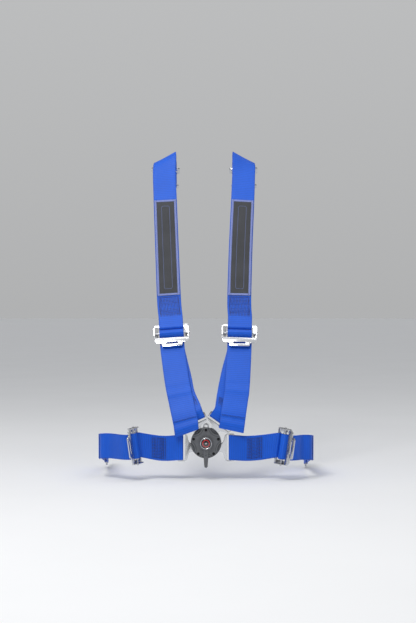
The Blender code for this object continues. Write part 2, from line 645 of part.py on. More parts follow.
# --------------------------------------------------------------- shoulder belts
def shoulder(side):
    """side -1: viewer's left belt, +1: viewer's right belt."""
    s = side
    nm = "shoulder_%s" % ("left" if s < 0 else "right")
    rho = math.radians(4.0 if s < 0 else -1.5)
    rec = math.radians(RECLINE)
    ox = -0.0722 if s < 0 else 0.0697
    U = Vector((math.sin(rho), -math.sin(rec) * math.cos(rho), -math.cos(rec) * math.cos(rho)))
    V = -Vector((math.cos(rho), 0.0, math.sin(rho)))
    fr = Frame((ox, 0.0837, 0.2320), U, V)
    hw = fr.V * (WEB_W / 2)

    # upper strap: from the adjuster's crossbar up, over the slanted bend, back to the anchor
    if s < 0:
        mids = [(-0.0772, 0.1067, 0.2860, 3.6), (-0.0828, 0.1518, 0.3920, 3.2), (-0.0882, 0.1981, 0.5010, 3.2),
                (-0.0910, 0.2250, 0.5600, 6.0)]
        bend_x, tail_x = -0.0905, -0.0950
    else:
        mids = [(0.0692, 0.1067, 0.2860, -1.0), (0.0731, 0.1518, 0.3920, -2.8), (0.0788, 0.1981, 0.5010, -3.2),
                (0.0815, 0.2250, 0.5600, -6.0)]
        bend_x, tail_x = 0.0821, 0.0885
    ctrl = [(fr.p(0, 0.012, 0), hw), (fr.p(0, 0.0, 0), hw), (fr.p(0, -0.022, 0), hw)]
    for x, y, z, roll in mids:
        a = math.radians(roll)
        ctrl.append((Vector((x, y, z)), -Vector((math.cos(a), 0, math.sin(a))) * (WEB_W / 2)))
    for dx, y, z, roll, stretch, tip in ((0.0, 0.2370, 0.5865, 20.0, 1.07, 0.0), (0.0, 0.2445, 0.5955, 29.0, 1.13, 0.0),
                                         (0.0, 0.2560, 0.5990, 27.0, 1.10, 0.0), (0.0, 0.2800, 0.5960, 16.0, 1.03, 0.0)):
        a = math.radians(roll) * (1 if s < 0 else -1)
        ctrl.append((Vector((bend_x + dx, y, z)), -Vector((math.cos(a), 0, math.sin(a))) * (WEB_W / 2) * stretch))
    flatv = -Vector((1, 0, 0)) * (WEB_W / 2)
    for k, (y, z) in enumerate(((0.3300, 0.5850), (0.3800, 0.5750), (0.4300, 0.5650), (0.4600, 0.5590))):
        x = bend_x + (tail_x - bend_x) * (k + 1) / 4
        ctrl.append((Vector((x, y, z)), flatv))
    # the route is measured so that the crossbar is at length 0
    up = Strip(ctrl, start=-0.012)
    seat = up.end
    up.square_from = seat - 0.190
    sgn = check_side(up)
    lay = 0.0009
    rr = TONGUE_T / 2 + GAP + WEB_T / 2 + 0.0005
    # sewn end behind, round the crossbar, then up the front
    path = [(0.070, -lay), (0.052, -lay), (0.036, -lay), (0.022, -0.0012), (0.012, -0.0024)]
    path += arc(0.0, 0.0, LOOP_R, 290, 70, 12)
    path += [(0.012, 0.0024), (0.022, 0.0012), (0.036, lay), (0.052, lay), (0.070, lay)]
    n = 12
    l_bend = locate(up, 0.575)
    path += [(0.070 + (l_bend - 0.070) * k / n, lay) for k in range(1, n + 1)]
    mid = seat - 0.105
    n = 12
    path += [(l_bend + (mid - 0.026 - l_bend) * k / n, lay) for k in range(1, n + 1)]
    wave = slide_wave()
    upper = offset_line(wave, lay)
    lower = offset_line(wave, -lay)
    path += [(mid + b, c) for b, c in upper]
    path += [(seat - 0.060, 0.0015), (seat - 0.030, rr), (seat - 0.012, rr)]
    path += arc(seat + 0.0028, 0.0, rr, 90, -90, 6)
    path += [(seat - 0.012, -rr), (seat - 0.030, -rr), (seat - 0.060, -0.0015)]
    path += [(mid + b, c) for b, c in reversed(lower)]
    path += [(mid - 0.026 - 0.012, -lay), (mid - 0.026 - 0.030, -lay)]
    link(nm + "_upper_strap", follow(up, [(l, c * sgn) for l, c in path]), M_WEB)

    # label panel sewn on the front of the strap
    l0, l1 = locate(up, 0.2947), locate(up, 0.5011)
    pn = 16
    pp = [(l0 + (l1 - l0) * k / pn, (lay + WEB_T / 2 + 0.0005 + 0.0004) * sgn) for k in range(pn + 1)]
    link(nm + "_label", follow(up, pp, 0.0008, 0.0234 / 0.025), M_PATCH)

    # bolt-in anchor at the rear end
    p, h, nrm, t = up.at(seat)
    build_anchor(nm + "_anchor", p, t, h)
    build_slide(nm + "_slide", up, mid, sgn)

    # lower strap: load run to the tongue
    if s < 0:
        run = [(-0.0542, 0.0340, 0.1263, 11.0), (-0.0474, 0.0183, 0.0955, 15.0)]
        tail = [(-0.0584, 0.0240, 0.1198, 9.0), (-0.0496, 0.0030, 0.0804, 12.0), (-0.0448, -0.0090, 0.0600, 14.0),
                (-0.0402, -0.0168, 0.0399, 16.0), (-0.0380, -0.0198, 0.0208, 20.0)]
    else:
        run = [(0.0564, 0.0395, 0.1378, -10.0), (0.0475, 0.0187, 0.0962, -15.0)]
        tail = [(0.0633, 0.0195, 0.1111, -3.0), (0.0590, 0.0036, 0.0820, -5.0), (0.0552, -0.0102, 0.0600, -7.5),
                (0.0526, -0.0162, 0.0420, -10.0), (0.0504, -0.0190, 0.0266, -12.0)]
    tor, tdir = tongue_seat(s)
    barp = tor + tdir * BAR_T + Vector((0, TONGUE_Y, 0))
    cross = Vector((-tdir.z, 0, tdir.x)) * (WEB_W / 2)
    if cross.dot(fr.V) < 0:
        cross = -cross
    base = [(fr.p(0, 0.012, 0), hw), (fr.p(0, 0.030, 0), hw), (fr.p(0, LEAD, 0), hw)]
    ctrl = list(base)
    for x, y, z, roll in run:
        a = math.radians(roll)
        ctrl.append((Vector((x, y, z)), -Vector((math.cos(a), 0, math.sin(a))) * (WEB_W / 2)))
    app = barp + tdir * 0.0195 + Vector((-0.0008 * s, 0.0060, 0.0020))
    mixd = (cross * 0.55 + ctrl[-1][1] * 0.45).normalized() * (WEB_W / 2)
    ctrl.append((app, mixd))
    ctrl.append((barp + tdir * 0.0085, cross))
    ctrl.append((barp, cross))
    ctrl.append((barp - tdir * 0.010, cross))
    rn = Strip(ctrl, start=0.012)
    sg = check_side(rn)
    lb = nearest(rn, barp)
    back_c = BAR_C - WRAP_R
    r2 = TONGUE_T / 2 + GAP + WEB_T / 2 + 0.0003
    path = [(LEAD + GAP, back_c)]
    n = 12
    l0 = LEAD + GAP
    for k in range(1, n + 1):
        u = k / n
        c = back_c + (r2 - back_c) * u ** 2
        path.append((l0 + (lb - 0.010 - l0) * u, c))
    path += [(lb - 0.002, r2)]
    path += arc(lb + BAR_HALF - 0.0012, 0.0, r2, 90, -90, 6)
    path += [(lb - 0.002, -r2), (lb - 0.014, -r2), (lb - 0.034, -r2 * 0.75), (lb - 0.054, -r2 * 0.75 + back_c * 0.3)]
    link(nm + "_run", follow(rn, [(l, c * sg) for l, c in path]), M_WEB)
    build_tongue(nm + "_tongue", tor, tdir)

    # free tail in front
    ctrl = list(base)
    for k, (x, y, z, roll) in enumerate(tail):
        a = math.radians(roll)
        ctrl.append((Vector((x, y, z)), -Vector((math.cos(a), 0, math.sin(a))) * (WEB_W / 2)))
    tl = Strip(ctrl, start=0.012)
    sg2 = check_side(tl)
    front_c = back_c + 0.0018
    n = 14
    l0 = LEAD + 0.0005
    path = [(l0 + (tl.end - l0) * k / n, front_c) for k in range(n + 1)]
    link(nm + "_tail", follow(tl, [(l, c * sg2) for l, c in path]), M_WEB)

    # webbing through the adjuster
    wp = wrap_points()
    pts = [(LEAD, back_c), (0.0400, back_c)] + wp + [(0.0400, front_c), (LEAD, front_c)]
    cs = [fr.p(0, b, c) for b, c in pts]
    link(nm + "_wrap", ribbon(cs, [hw] * len(cs), WEB_T), M_WEB)
    return fr


def check_side(strip):
    """+1 if the strip's normal points to the viewer's side at its start, else -1."""
    p, h, n, t = strip.at(strip.L[2])
    return 1.0 if n.y < 0 else -1.0


def locate(strip, z):
    """Length at which the strip first reaches height z."""
    for i in range(len(strip.P) - 1):
        a, b = strip.P[i].z, strip.P[i + 1].z
        if (a - z) * (b - z) <= 0 and a != b:
            return strip.L[i] + (strip.L[i + 1] - strip.L[i]) * (z - a) / (b - a)
    return strip.end


def nearest(strip, p):
    best = min(range(len(strip.P)), key=lambda i: (strip.P[i] - Vector(p)).length)
    return strip.L[best]


def build_slide(name, strip, l, sgn):
    """Three-bar slide that the doubled strap is threaded through at length l."""
    p, h, n, t = strip.at(l)

    def place(w, b, c):
        return p + h.normalized() * w + t * b + n * (sgn * c)
    o, i, m = SLIDE_OUT, SLIDE_IN, SLIDE_MID
    outer = round_poly([(-0.032, -o), (0.032, -o), (0.032, o), (-0.032, o)], 0.004, 3)
    w1 = round_poly([(-0.0270, -i), (0.0270, -i), (0.0270, -m), (-0.0270, -m)], 0.0006, 1)
    w2 = round_poly([(-0.0270, m), (0.0270, m), (0.0270, i), (-0.0270, i)], 0.0006, 1)
    link(name, prism(outer, [w1, w2], SLIDE_C - SLIDE_T / 2, SLIDE_C + SLIDE_T / 2, place), M_PLATE)


# -------------------------------------------------------------------- lap belts
def lap(side):
    s = side
    nm = "lap_%s" % ("left" if s < 0 else "right")
    tau = math.radians(60.0 if s < 0 else 42.0)
    roll = math.radians(8.0)
    cx = 0.1350 if s < 0 else 0.1430
    cz = -0.0040 if s < 0 else -0.0050
    strap_y = -0.0060
    out = Vector((s, 0, 0))
    fwd = Vector((0, -1, 0))
    O = Vector((s * cx, strap_y, cz))
    axis = Vector((s * math.sin(roll), 0, math.cos(roll)))      # crossbar direction, top outboard
    U0 = (out * math.cos(roll) - Vector((0, 0, 1)) * math.sin(roll))
    U = U0 * math.cos(tau) + fwd * math.sin(tau)
    V = axis if s > 0 else -axis
    fr = Frame(O, U, V)
    if fr.N.dot(fwd) < 0:
        fr = Frame(O, U, -V)
    hw_adj = fr.V * (WEB_W / 2)
    up = Vector((0, 0, 1)) * (WEB_W / 2)
    if up.dot(fr.V) < 0:
        up = -up

    # short doubled strap between the tongue's bar and the crossbar
    tor = Vector((s * LAP_HOLE_X, 0, LAP_Z))
    barp = tor + out * BAR_T + Vector((0, TONGUE_Y, 0))
    ctrl = [(barp - out * 0.010, up), (barp, up), (barp + out * 0.030 + Vector((0, 0.0030, -0.0020)), up),
            (Vector((s * (cx - 0.030), -0.0030, LAP_Z)), up * 0.9 + hw_adj * 0.1),
            (Vector((s * cx, strap_y, cz)), hw_adj),
            (Vector((s * (cx + 0.010), strap_y, cz)) - Vector((0, 0, 0.0010)), hw_adj)]
    st = Strip(ctrl, start=-0.010)
    sg = check_side(st)
    lc = nearest(st, O)
    r1 = TONGUE_T / 2 + GAP + WEB_T / 2 + 0.0006
    r2 = LOOP_R
    path = []
    mid = (lc) * 0.5
    path += [(mid - 0.0015, -0.00093), (mid * 0.55 + 0.004, -0.0011), (0.0120, -r1 * 0.9), (0.0020, -r1)]
    path += arc(-(BAR_HALF - 0.0012), 0.0, r1, -90, -270, 8)
    path += [(0.0020, r1), (0.0120, r1 * 0.9), (mid * 0.55 + 0.004, 0.0011), (mid, 0.00093), (mid * 1.45 - 0.004, 0.00093),
             (lc - 0.0160, 0.0016), (lc - 0.0070, r2 * 0.80)]
    path += arc(lc, 0.0, r2, 110, -110, 12)
    path += [(lc - 0.0070, -r2 * 0.80), (lc - 0.0160, -0.0016), (mid * 1.45 - 0.004, -0.00093), (mid + 0.0015, -0.00093)]
    link(nm + "_short_strap", follow(st, [(l, c * sg) for l, c in path]), M_WEB)
    build_tongue(nm + "_tongue", tor, out)

    # outer strap: from the adjuster outboard, round the corner and back to the anchor
    back_c = BAR_C - WRAP_R
    front_c = back_c + 0.0018
    zo = -0.0070 if s < 0 else -0.0100
    x1 = 0.2130
    e0, e1 = fr.p(0, 0.012, 0), fr.p(0, 0.027, 0)
    dirx = (fr.U + out * 0.9).normalized()
    ctrl = [(e0, hw_adj), (e1, hw_adj), (e1 + dirx * 0.012, hw_adj * 0.95 + up * 0.05)]
    q = ctrl[-1][0]
    far = Vector((s * (x1 - 0.020), 0.0020, zo - 0.0002))
    ctrl.append((q.lerp(far, 0.45) + fwd * 0.0012, hw_adj * 0.5 + up * 0.5))
    ctrl.append((far, up))
    ctrl.append((Vector((s * (x1 - 0.0045), 0.0100, zo - 0.0010)), up))
    ctrl.append((Vector((s * x1, 0.0280, zo - 0.0035)), up))
    ctrl.append((Vector((s * (x1 + 0.001), 0.0700, zo - 0.0100)), up))
    ctrl.append((Vector((s * (x1 + 0.001), 0.1300, zo - 0.0200)), up))
    ctrl.append((Vector((s * (x1 + 0.001), 0.1750, zo - 0.0275)), up))
    ctrl.append((Vector((s * (x1 + 0.001), 0.1950, zo - 0.0308)), up))
    outer = Strip(ctrl, start=0.012)
    sg = check_side(outer)
    seat = outer.end
    outer.square_from = seat - 0.120
    lead = 0.0900 if s < 0 else 0.0760
    r3 = 0.0015 + GAP + WEB_T / 2 + 0.0005
    l0 = lead + GAP + 0.0002
    stations = [l0]
    while stations[-1] < seat - 0.016:
        stations.append(stations[-1] + (0.0060 if stations[-1] < lead + 0.060 else 0.0140))
    stations[-1] = seat - 0.012
    path = [(l, back_c + (r3 - back_c) * max(0.0, (l - seat + 0.060) / 0.048)) for l in stations]
    path += [(seat, r3)]
    path += arc(seat + 0.0028, 0.0, r3, 90, -90, 6)
    path += [(seat - 0.006, -r3), (seat - 0.020, -r3), (seat - 0.040, -r3 * 0.6 + back_c * 0.4)]
    link(nm + "_run", follow(outer, [(l, c * sg) for l, c in path]), M_WEB)
    path = [(l, front_c + 0.0010 * min(1.0, (l - l0) / 0.008)) for l in stations if l < lead + 0.070]
    link(nm + "_tail", follow(outer, [(l, c * sg) for l, c in path]), M_WEB)
    # webbing through the adjuster, leads bent outboard behind the tab
    cs, hs = [], []
    for l in (lead, lead - 0.006, lead - 0.012, lead - 0.017):
        p, h = outer.point(l, back_c * sg)
        cs.append(p)
        hs.append(h)
    for b, c in wrap_points():
        cs.append(fr.p(0, b, c))
        hs.append(hw_adj)
    for l in (lead - 0.017, lead - 0.012, lead - 0.006, lead):
        p, h = outer.point(l, front_c * sg)
        cs.append(p)
        hs.append(h)
    link(nm + "_wrap", ribbon(cs, hs, WEB_T), M_WEB)
    p, h, nrm, t = outer.at(seat)
    build_anchor(nm + "_anchor", p, t, h)
    return fr


def main():
    build_buckle()
    build_lever()
    fm, bm_ = adjuster_mesh(), bar_mesh()
    for name, fr in (("shoulder_left_adjuster", shoulder(-1)), ("shoulder_right_adjuster", shoulder(1)),
                     ("lap_left_adjuster", lap(-1)), ("lap_right_adjuster", lap(1))):
        build_adjuster(name, fr, fm, bm_)


main()
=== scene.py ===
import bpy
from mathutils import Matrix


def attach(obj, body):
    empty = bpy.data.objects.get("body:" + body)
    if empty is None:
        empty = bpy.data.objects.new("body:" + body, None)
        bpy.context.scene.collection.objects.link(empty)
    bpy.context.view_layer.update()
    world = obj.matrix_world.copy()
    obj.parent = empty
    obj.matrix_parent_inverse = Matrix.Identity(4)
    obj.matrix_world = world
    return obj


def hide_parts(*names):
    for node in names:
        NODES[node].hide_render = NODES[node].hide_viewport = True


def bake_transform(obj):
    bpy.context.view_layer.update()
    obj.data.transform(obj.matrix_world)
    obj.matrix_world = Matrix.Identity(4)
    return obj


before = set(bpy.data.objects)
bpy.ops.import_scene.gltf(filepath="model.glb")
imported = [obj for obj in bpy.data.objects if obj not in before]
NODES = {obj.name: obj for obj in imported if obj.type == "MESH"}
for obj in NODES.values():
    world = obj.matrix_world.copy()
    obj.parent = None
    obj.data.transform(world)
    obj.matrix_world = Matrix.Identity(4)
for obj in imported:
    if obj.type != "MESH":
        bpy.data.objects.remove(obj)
"""Looks of a four-point racing harness, built round its fixed frame.

Straps are remade as fine woven strips along the same routes as the frame's,
metal parts are remade with finer outlines and rounded edges.
"""
import bpy
import bmesh
import math
import random
from mathutils import Vector, Matrix
from mathutils.geometry import tessellate_polygon

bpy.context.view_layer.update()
random.seed(7)
SCENE = bpy.context.scene

WEB_W = 0.050            # webbing width (two-inch class)
WEB_T = 0.0015           # webbing thickness
GAP = 0.0003             # clearance between touching pieces

BODY_R = 0.0305          # buckle housing radius
BODY_FRONT = -0.0190     # y of the star-shaped face
STEP_FRONT = -0.0160     # y of the lower crescents at the rim
TONGUE_Y = -0.0080       # mid-plane of the tongues
TONGUE_T = 0.0030
LAP_Z = -0.0096          # height of the lap tongues
LAP_HOLE_X = 0.0190
SLOT_ANGLE = 55.5        # radial direction of the shoulder slots above horizontal
TONGUE_LEAN_L = 65.7     # direction of the left shoulder tongue above horizontal
TONGUE_LEAN_R = 55.0     # and of the right one
SLOT_TO_HOLE = 0.0096    # latch hole lies this far inside the rim
BAR_T = 0.0335           # webbing bar of a tongue, from its latch hole
BAR_HALF = 0.0045
SCREW_R = 0.0260         # radius of the face screws' circle

ADJ_HALF = 0.0365        # adjuster half width
BAR_B = 0.0180           # slider bar centre, along the adjuster
BAR_C = 0.0044           # slider bar centre, in front of the frame plane
BAR_R = 0.0042
BAR_SLACK = 0.0018       # room for the bar to lift off its clamp
TAB_ROOT = 0.0272
TAB_LEN = 0.0210
TAB_TILT = 12.0
LEAD = 0.0520            # webbing leaves the adjuster's own piece here

RECLINE = 23.0           # shoulder straps lean back from vertical


def solid_mesh(verts, faces, name="m"):
    me = bpy.data.meshes.new(name)
    me.from_pydata([tuple(v) for v in verts], [], [tuple(f) for f in faces])
    bm = bmesh.new()
    bm.from_mesh(me)
    bmesh.ops.recalc_face_normals(bm, faces=bm.faces)
    bm.to_mesh(me)
    bm.free()
    me.update()
    return me


def prism(outline, holes, h0, h1, place):
    """Extrude a flat outline with holes from h0 to h1 along the third axis.

    place maps (a, b, h) to world coordinates.
    """
    loops = [list(outline)] + [list(h) for h in holes]
    flat = [p for lp in loops for p in lp]
    n = len(flat)
    tris = tessellate_polygon([[Vector((p[0], p[1], 0.0)) for p in lp] for lp in loops])
    verts = [place(p[0], p[1], h0) for p in flat] + [place(p[0], p[1], h1) for p in flat]
    faces = []
    for t in tris:
        faces.append((t[0], t[1], t[2]))
        faces.append((t[2] + n, t[1] + n, t[0] + n))
    base = 0
    for lp in loops:
        k = len(lp)
        for i in range(k):
            j = (i + 1) % k
            faces.append((base + i, base + j, base + j + n, base + i + n))
        base += k
    return solid_mesh(verts, faces)


def circle(r, n, cx=0.0, cy=0.0, ph=0.0):
    return [(cx + r * math.cos(ph + 2 * math.pi * i / n), cy + r * math.sin(ph + 2 * math.pi * i / n))
            for i in range(n)]


def round_poly(pts, radii, seg=3):
    """Round each corner of a polygon with its own radius."""
    out = []
    n = len(pts)
    for i in range(n):
        p = Vector(pts[i])
        a = (Vector(pts[i - 1]) - p)
        b = (Vector(pts[(i + 1) % n]) - p)
        r = radii[i] if isinstance(radii, (list, tuple)) else radii
        if r <= 0:
            out.append((p.x, p.y))
            continue
        la, lb = a.length, b.length
        a.normalize()
        b.normalize()
        ang = math.acos(max(-1, min(1, a.dot(b))))
        d = min(r / math.tan(ang / 2), la * 0.49, lb * 0.49)
        rr = d * math.tan(ang / 2)
        bis = (a + b).normalized()
        c = p + bis * (rr / math.sin(ang / 2))
        s = p + a * d
        e = p + b * d
        a0 = math.atan2(s.y - c.y, s.x - c.x)
        a1 = math.atan2(e.y - c.y, e.x - c.x)
        da = (a1 - a0 + math.pi) % (2 * math.pi) - math.pi
        for k in range(seg + 1):
            t = a0 + da * k / seg
            out.append((c.x + rr * math.cos(t), c.y + rr * math.sin(t)))
    return out


def lathe(profile, n, place):
    """Closed profile of (r, h) points turned about the axis; r may touch 0."""
    verts = []
    rings = []
    for r, h in profile:
        if r < 1e-9:
            rings.append([len(verts)])
            verts.append(place(0.0, 0.0, h))
        else:
            rings.append(list(range(len(verts), len(verts) + n)))
            for i in range(n):
                t = 2 * math.pi * i / n
                verts.append(place(r * math.cos(t), r * math.sin(t), h))
    faces = []
    m = len(profile)
    for k in range(m):
        A, B = rings[k], rings[(k + 1) % m]
        if len(A) == 1 and len(B) == 1:
            continue
        for i in range(n):
            j = (i + 1) % n
            if len(A) == 1:
                faces.append((A[0], B[j], B[i]))
            elif len(B) == 1:
                faces.append((A[i], A[j], B[0]))
            else:
                faces.append((A[i], A[j], B[j], B[i]))
    return solid_mesh(verts, faces)


def boolean(me, others, op):
    """Apply exact booleans with temporary objects and give the new mesh."""
    for other in others:
        a = bpy.data.objects.new("tmp_a", me)
        b = bpy.data.objects.new("tmp_b", other)
        bpy.context.scene.collection.objects.link(a)
        bpy.context.scene.collection.objects.link(b)
        md = a.modifiers.new("cut", "BOOLEAN")
        md.operation = op
        md.solver = "EXACT"
        md.object = b
        bpy.context.view_layer.update()
        dg = bpy.context.evaluated_depsgraph_get()
        me = bpy.data.meshes.new_from_object(a.evaluated_get(dg))
        bpy.data.objects.remove(a, do_unlink=True)
        bpy.data.objects.remove(b, do_unlink=True)
        bm = bmesh.new()
        bm.from_mesh(me)
        bmesh.ops.remove_doubles(bm, verts=bm.verts, dist=4e-6)
        bmesh.ops.dissolve_degenerate(bm, edges=bm.edges, dist=2e-6)
        bm.to_mesh(me)
        bm.free()
    return me


def catmull(vals, t):
    """Value of a Catmull-Rom curve through vals at parameter t in segments."""
    n = len(vals)
    i = max(0, min(n - 2, int(math.floor(t))))
    u = t - i
    p1, p2 = vals[i], vals[i + 1]
    p0 = vals[i - 1] if i > 0 else p1 * 2 - p2
    p3 = vals[i + 2] if i + 2 < n else p2 * 2 - p1
    return 0.5 * ((p1 * 2) + (p2 - p0) * u + (p0 * 2 - p1 * 5 + p2 * 4 - p3) * u * u
                  + (p1 * 3 - p0 - p2 * 3 + p3) * u * u * u)


class Strip:
    """A webbing route: points and half-width vectors, measured by arc length."""

    def __init__(self, ctrl, start=0.0, per=24, square_from=1e9):
        pts = [Vector(c[0]) for c in ctrl]
        hws = [Vector(c[1]) for c in ctrl]
        self.P, self.H = [], []
        for i in range((len(pts) - 1) * per + 1):
            t = i / per
            self.P.append(catmull(pts, t))
            self.H.append(catmull(hws, t))
        self.L = [start]
        for a, b in zip(self.P, self.P[1:]):
            self.L.append(self.L[-1] + (b - a).length)
        self.end = self.L[-1]
        self.square_from = square_from

    def at(self, l):
        L = self.L
        if l <= L[0]:
            k, u = 0, (l - L[0]) / (L[1] - L[0])
        elif l >= L[-1]:
            k = len(L) - 2
            u = (l - L[k]) / (L[k + 1] - L[k])
        else:
            lo, hi = 0, len(L) - 1
            while hi - lo > 1:
                mid = (lo + hi) // 2
                if L[mid] <= l:
                    lo = mid
                else:
                    hi = mid
            k, u = lo, (l - L[lo]) / (L[lo + 1] - L[lo])
        p = self.P[k].lerp(self.P[k + 1], u)
        h = self.H[k].lerp(self.H[k + 1], u)
        a = self.P[max(0, k - 1)]
        b = self.P[min(len(self.P) - 1, k + 2)]
        t = (b - a).normalized()
        if l > self.square_from:
            w = min(1.0, (l - self.square_from) / 0.02)
            q = (h - t * h.dot(t)).normalized() * (WEB_W / 2)
            h = h.lerp(q, w)
        n = t.cross(h).normalized()
        return p, h, n, t

    def point(self, l, c):
        """Point at length l, lifted by c along the strip's face normal."""
        p, h, n, t = self.at(l)
        return p + n * c, h


def arc(l0, c0, r, a0, a1, n):
    """Points of an arc in the (l, c) plane about (l0, c0)."""
    return [(l0 + r * math.cos(math.radians(a0 + (a1 - a0) * i / n)),
             c0 + r * math.sin(math.radians(a0 + (a1 - a0) * i / n))) for i in range(n + 1)]


def span(a, b, n, c):
    return [(a + (b - a) * i / n, c) for i in range(n + 1)]


def tongue_seat(side):
    """Latch hole and outward direction of a shoulder tongue."""
    a = math.radians(SLOT_ANGLE)
    q = Vector((side * BODY_R * math.cos(a), 0.0, BODY_R * math.sin(a)))
    b = math.radians(TONGUE_LEAN_L if side < 0 else TONGUE_LEAN_R)
    u = Vector((side * math.cos(b), 0.0, math.sin(b)))
    return q - u * SLOT_TO_HOLE, u


def yplace(x, z, y):
    return Vector((x, y, z))


def tongue_outline():
    half = [(-0.0065, 0.0050), (-0.0030, 0.0088), (0.0108, 0.0088), (0.0146, 0.0108), (0.0162, 0.0150),
            (0.0172, 0.0200), (0.0190, 0.0248), (0.0232, 0.0276), (0.0358, 0.0278), (0.0380, 0.0260)]
    return half + [(t, -w) for t, w in reversed(half)]


class Frame:
    """An adjuster's placement: origin at the crossbar, V across, U to the tab, N forwards."""

    def __init__(self, origin, u, v):
        self.O = Vector(origin)
        self.U = Vector(u).normalized()
        v = Vector(v)
        self.V = (v - self.U * v.dot(self.U)).normalized()
        self.N = self.V.cross(self.U)

    def p(self, a, b, c):
        return self.O + self.V * a + self.U * b + self.N * c

    def matrix(self):
        return Matrix(((self.V.x, self.U.x, self.N.x, self.O.x),
                       (self.V.y, self.U.y, self.N.y, self.O.y),
                       (self.V.z, self.U.z, self.N.z, self.O.z),
                       (0, 0, 0, 1)))


WRAP_R = BAR_R + GAP + WEB_T / 2
LOOP_R = 0.0040          # sewn loop round a crossbar, centre line
SLIDE_OUT, SLIDE_IN, SLIDE_MID, SLIDE_T = 0.0200, 0.0150, 0.0040, 0.0024
SLIDE_C = 0.00315        # slide's mid-plane above the doubled strap's middle


def slide_wave():
    """Middle of the doubled strap through a three-bar slide: under, over, under."""
    r = SLIDE_T / 2 + 0.0
    R = 0.00220
    lo = -SLIDE_T / 2 - R
    a = math.hypot(SLIDE_IN - SLIDE_MID, SLIDE_T)
    th = math.degrees(math.atan2(SLIDE_T, SLIDE_IN - SLIDE_MID) + math.asin(2 * R / a))
    half = []
    for k in range(4):
        q = math.radians(90 - th * k / 3)
        half.append((SLIDE_MID + R * math.cos(q), r + R * math.sin(q)))
    for k in range(4):
        q = math.radians(270 - th * (1 - k / 3))
        half.append((SLIDE_IN + R * math.cos(q), -r + R * math.sin(q)))
    half.append((0.0260, lo))
    right = [(0.0, -lo)] + half
    left = [(-b, c) for b, c in reversed(half)]
    return [(b, c + SLIDE_C) for b, c in left + right]


def offset_line(pts, d):
    out = []
    n = len(pts)
    for i in range(n):
        a, b = pts[max(0, i - 1)], pts[min(n - 1, i + 1)]
        dx, dy = b[0] - a[0], b[1] - a[1]
        L = math.hypot(dx, dy)
        out.append((pts[i][0] - dy / L * d, pts[i][1] + dx / L * d))
    return out


def wrap_points():
    """Webbing through an adjuster, in its (b, c) plane: up behind the bar, over it, out behind the tab."""
    back = BAR_C - WRAP_R
    top = BAR_B - BAR_SLACK
    pts = [(0.0300, back), (0.0240, back), (BAR_B, back)]
    pts += [(top + WRAP_R * math.cos(math.radians(a)), BAR_C + WRAP_R * math.sin(math.radians(a)))
            for a in (-90, -112, -135, -158, -180, -202, -225, -248, -270)]
    for a in (90, 68, 46, 28):
        pts.append((BAR_B + WRAP_R * math.cos(math.radians(a)), BAR_C + WRAP_R * math.sin(math.radians(a))))
    pts += [(0.0252, 0.0026), (0.0268, 0.0013), (0.0300, back + 0.0018)]
    return pts


def check_side(strip):
    """+1 if the strip's normal points to the viewer's side at its start, else -1."""
    p, h, n, t = strip.at(strip.L[2])
    return 1.0 if n.y < 0 else -1.0


def locate(strip, z):
    """Length at which the strip first reaches height z."""
    for i in range(len(strip.P) - 1):
        a, b = strip.P[i].z, strip.P[i + 1].z
        if (a - z) * (b - z) <= 0 and a != b:
            return strip.L[i] + (strip.L[i + 1] - strip.L[i]) * (z - a) / (b - a)
    return strip.end


def nearest(strip, p):
    best = min(range(len(strip.P)), key=lambda i: (strip.P[i] - Vector(p)).length)
    return strip.L[best]


# ------------------------------------------------------------ routes of webbing
TRACK, ROUTE, ADJ, PLATES = {}, {}, {}, []


def put(name, cshs):
    TRACK[name] = ([Vector(c) for c in cshs[0]], [Vector(h) for h in cshs[1]])


def track(strip, path, scale=1.0):
    cs, hs = [], []
    for l, c in path:
        p, h = strip.point(l, c)
        cs.append(p)
        hs.append(h * scale)
    return cs, hs


def hem(l, c):
    """The free end folded over to the front and back up."""
    pts = [(l + 0.00092 * math.sin(math.radians(a)), c + 0.00092 - 0.00092 * math.cos(math.radians(a)))
           for a in (30, 60, 90, 120, 150, 180)]
    return pts + [(l - 0.0015 * k, c + 0.00186) for k in range(1, 21)]


def crease(l, end):
    """Set folds of a free tail: one across its middle, and the roll of its hem."""
    def g(m, w):
        return math.exp(-((l - m) / w) ** 2)
    return (0.0013 * g(end - 0.0860, 0.0070) - 0.0007 * g(end - 0.0980, 0.0060)
            - 0.0009 * g(end - 0.0215, 0.0045) + 0.0010 * g(end - 0.0100, 0.0055) - 0.0012 * g(end + 0.001, 0.0040))


def build_tongue(name, origin, along):
    PLATES.append(("tongue", name, Vector(origin), Vector(along).normalized()))


def build_anchor(name, origin, u, v):
    PLATES.append(("anchor", name, Frame(origin, u, v), None))


def build_slide(name, strip, l, sgn):
    PLATES.append(("slide", name, strip.at(l), sgn))


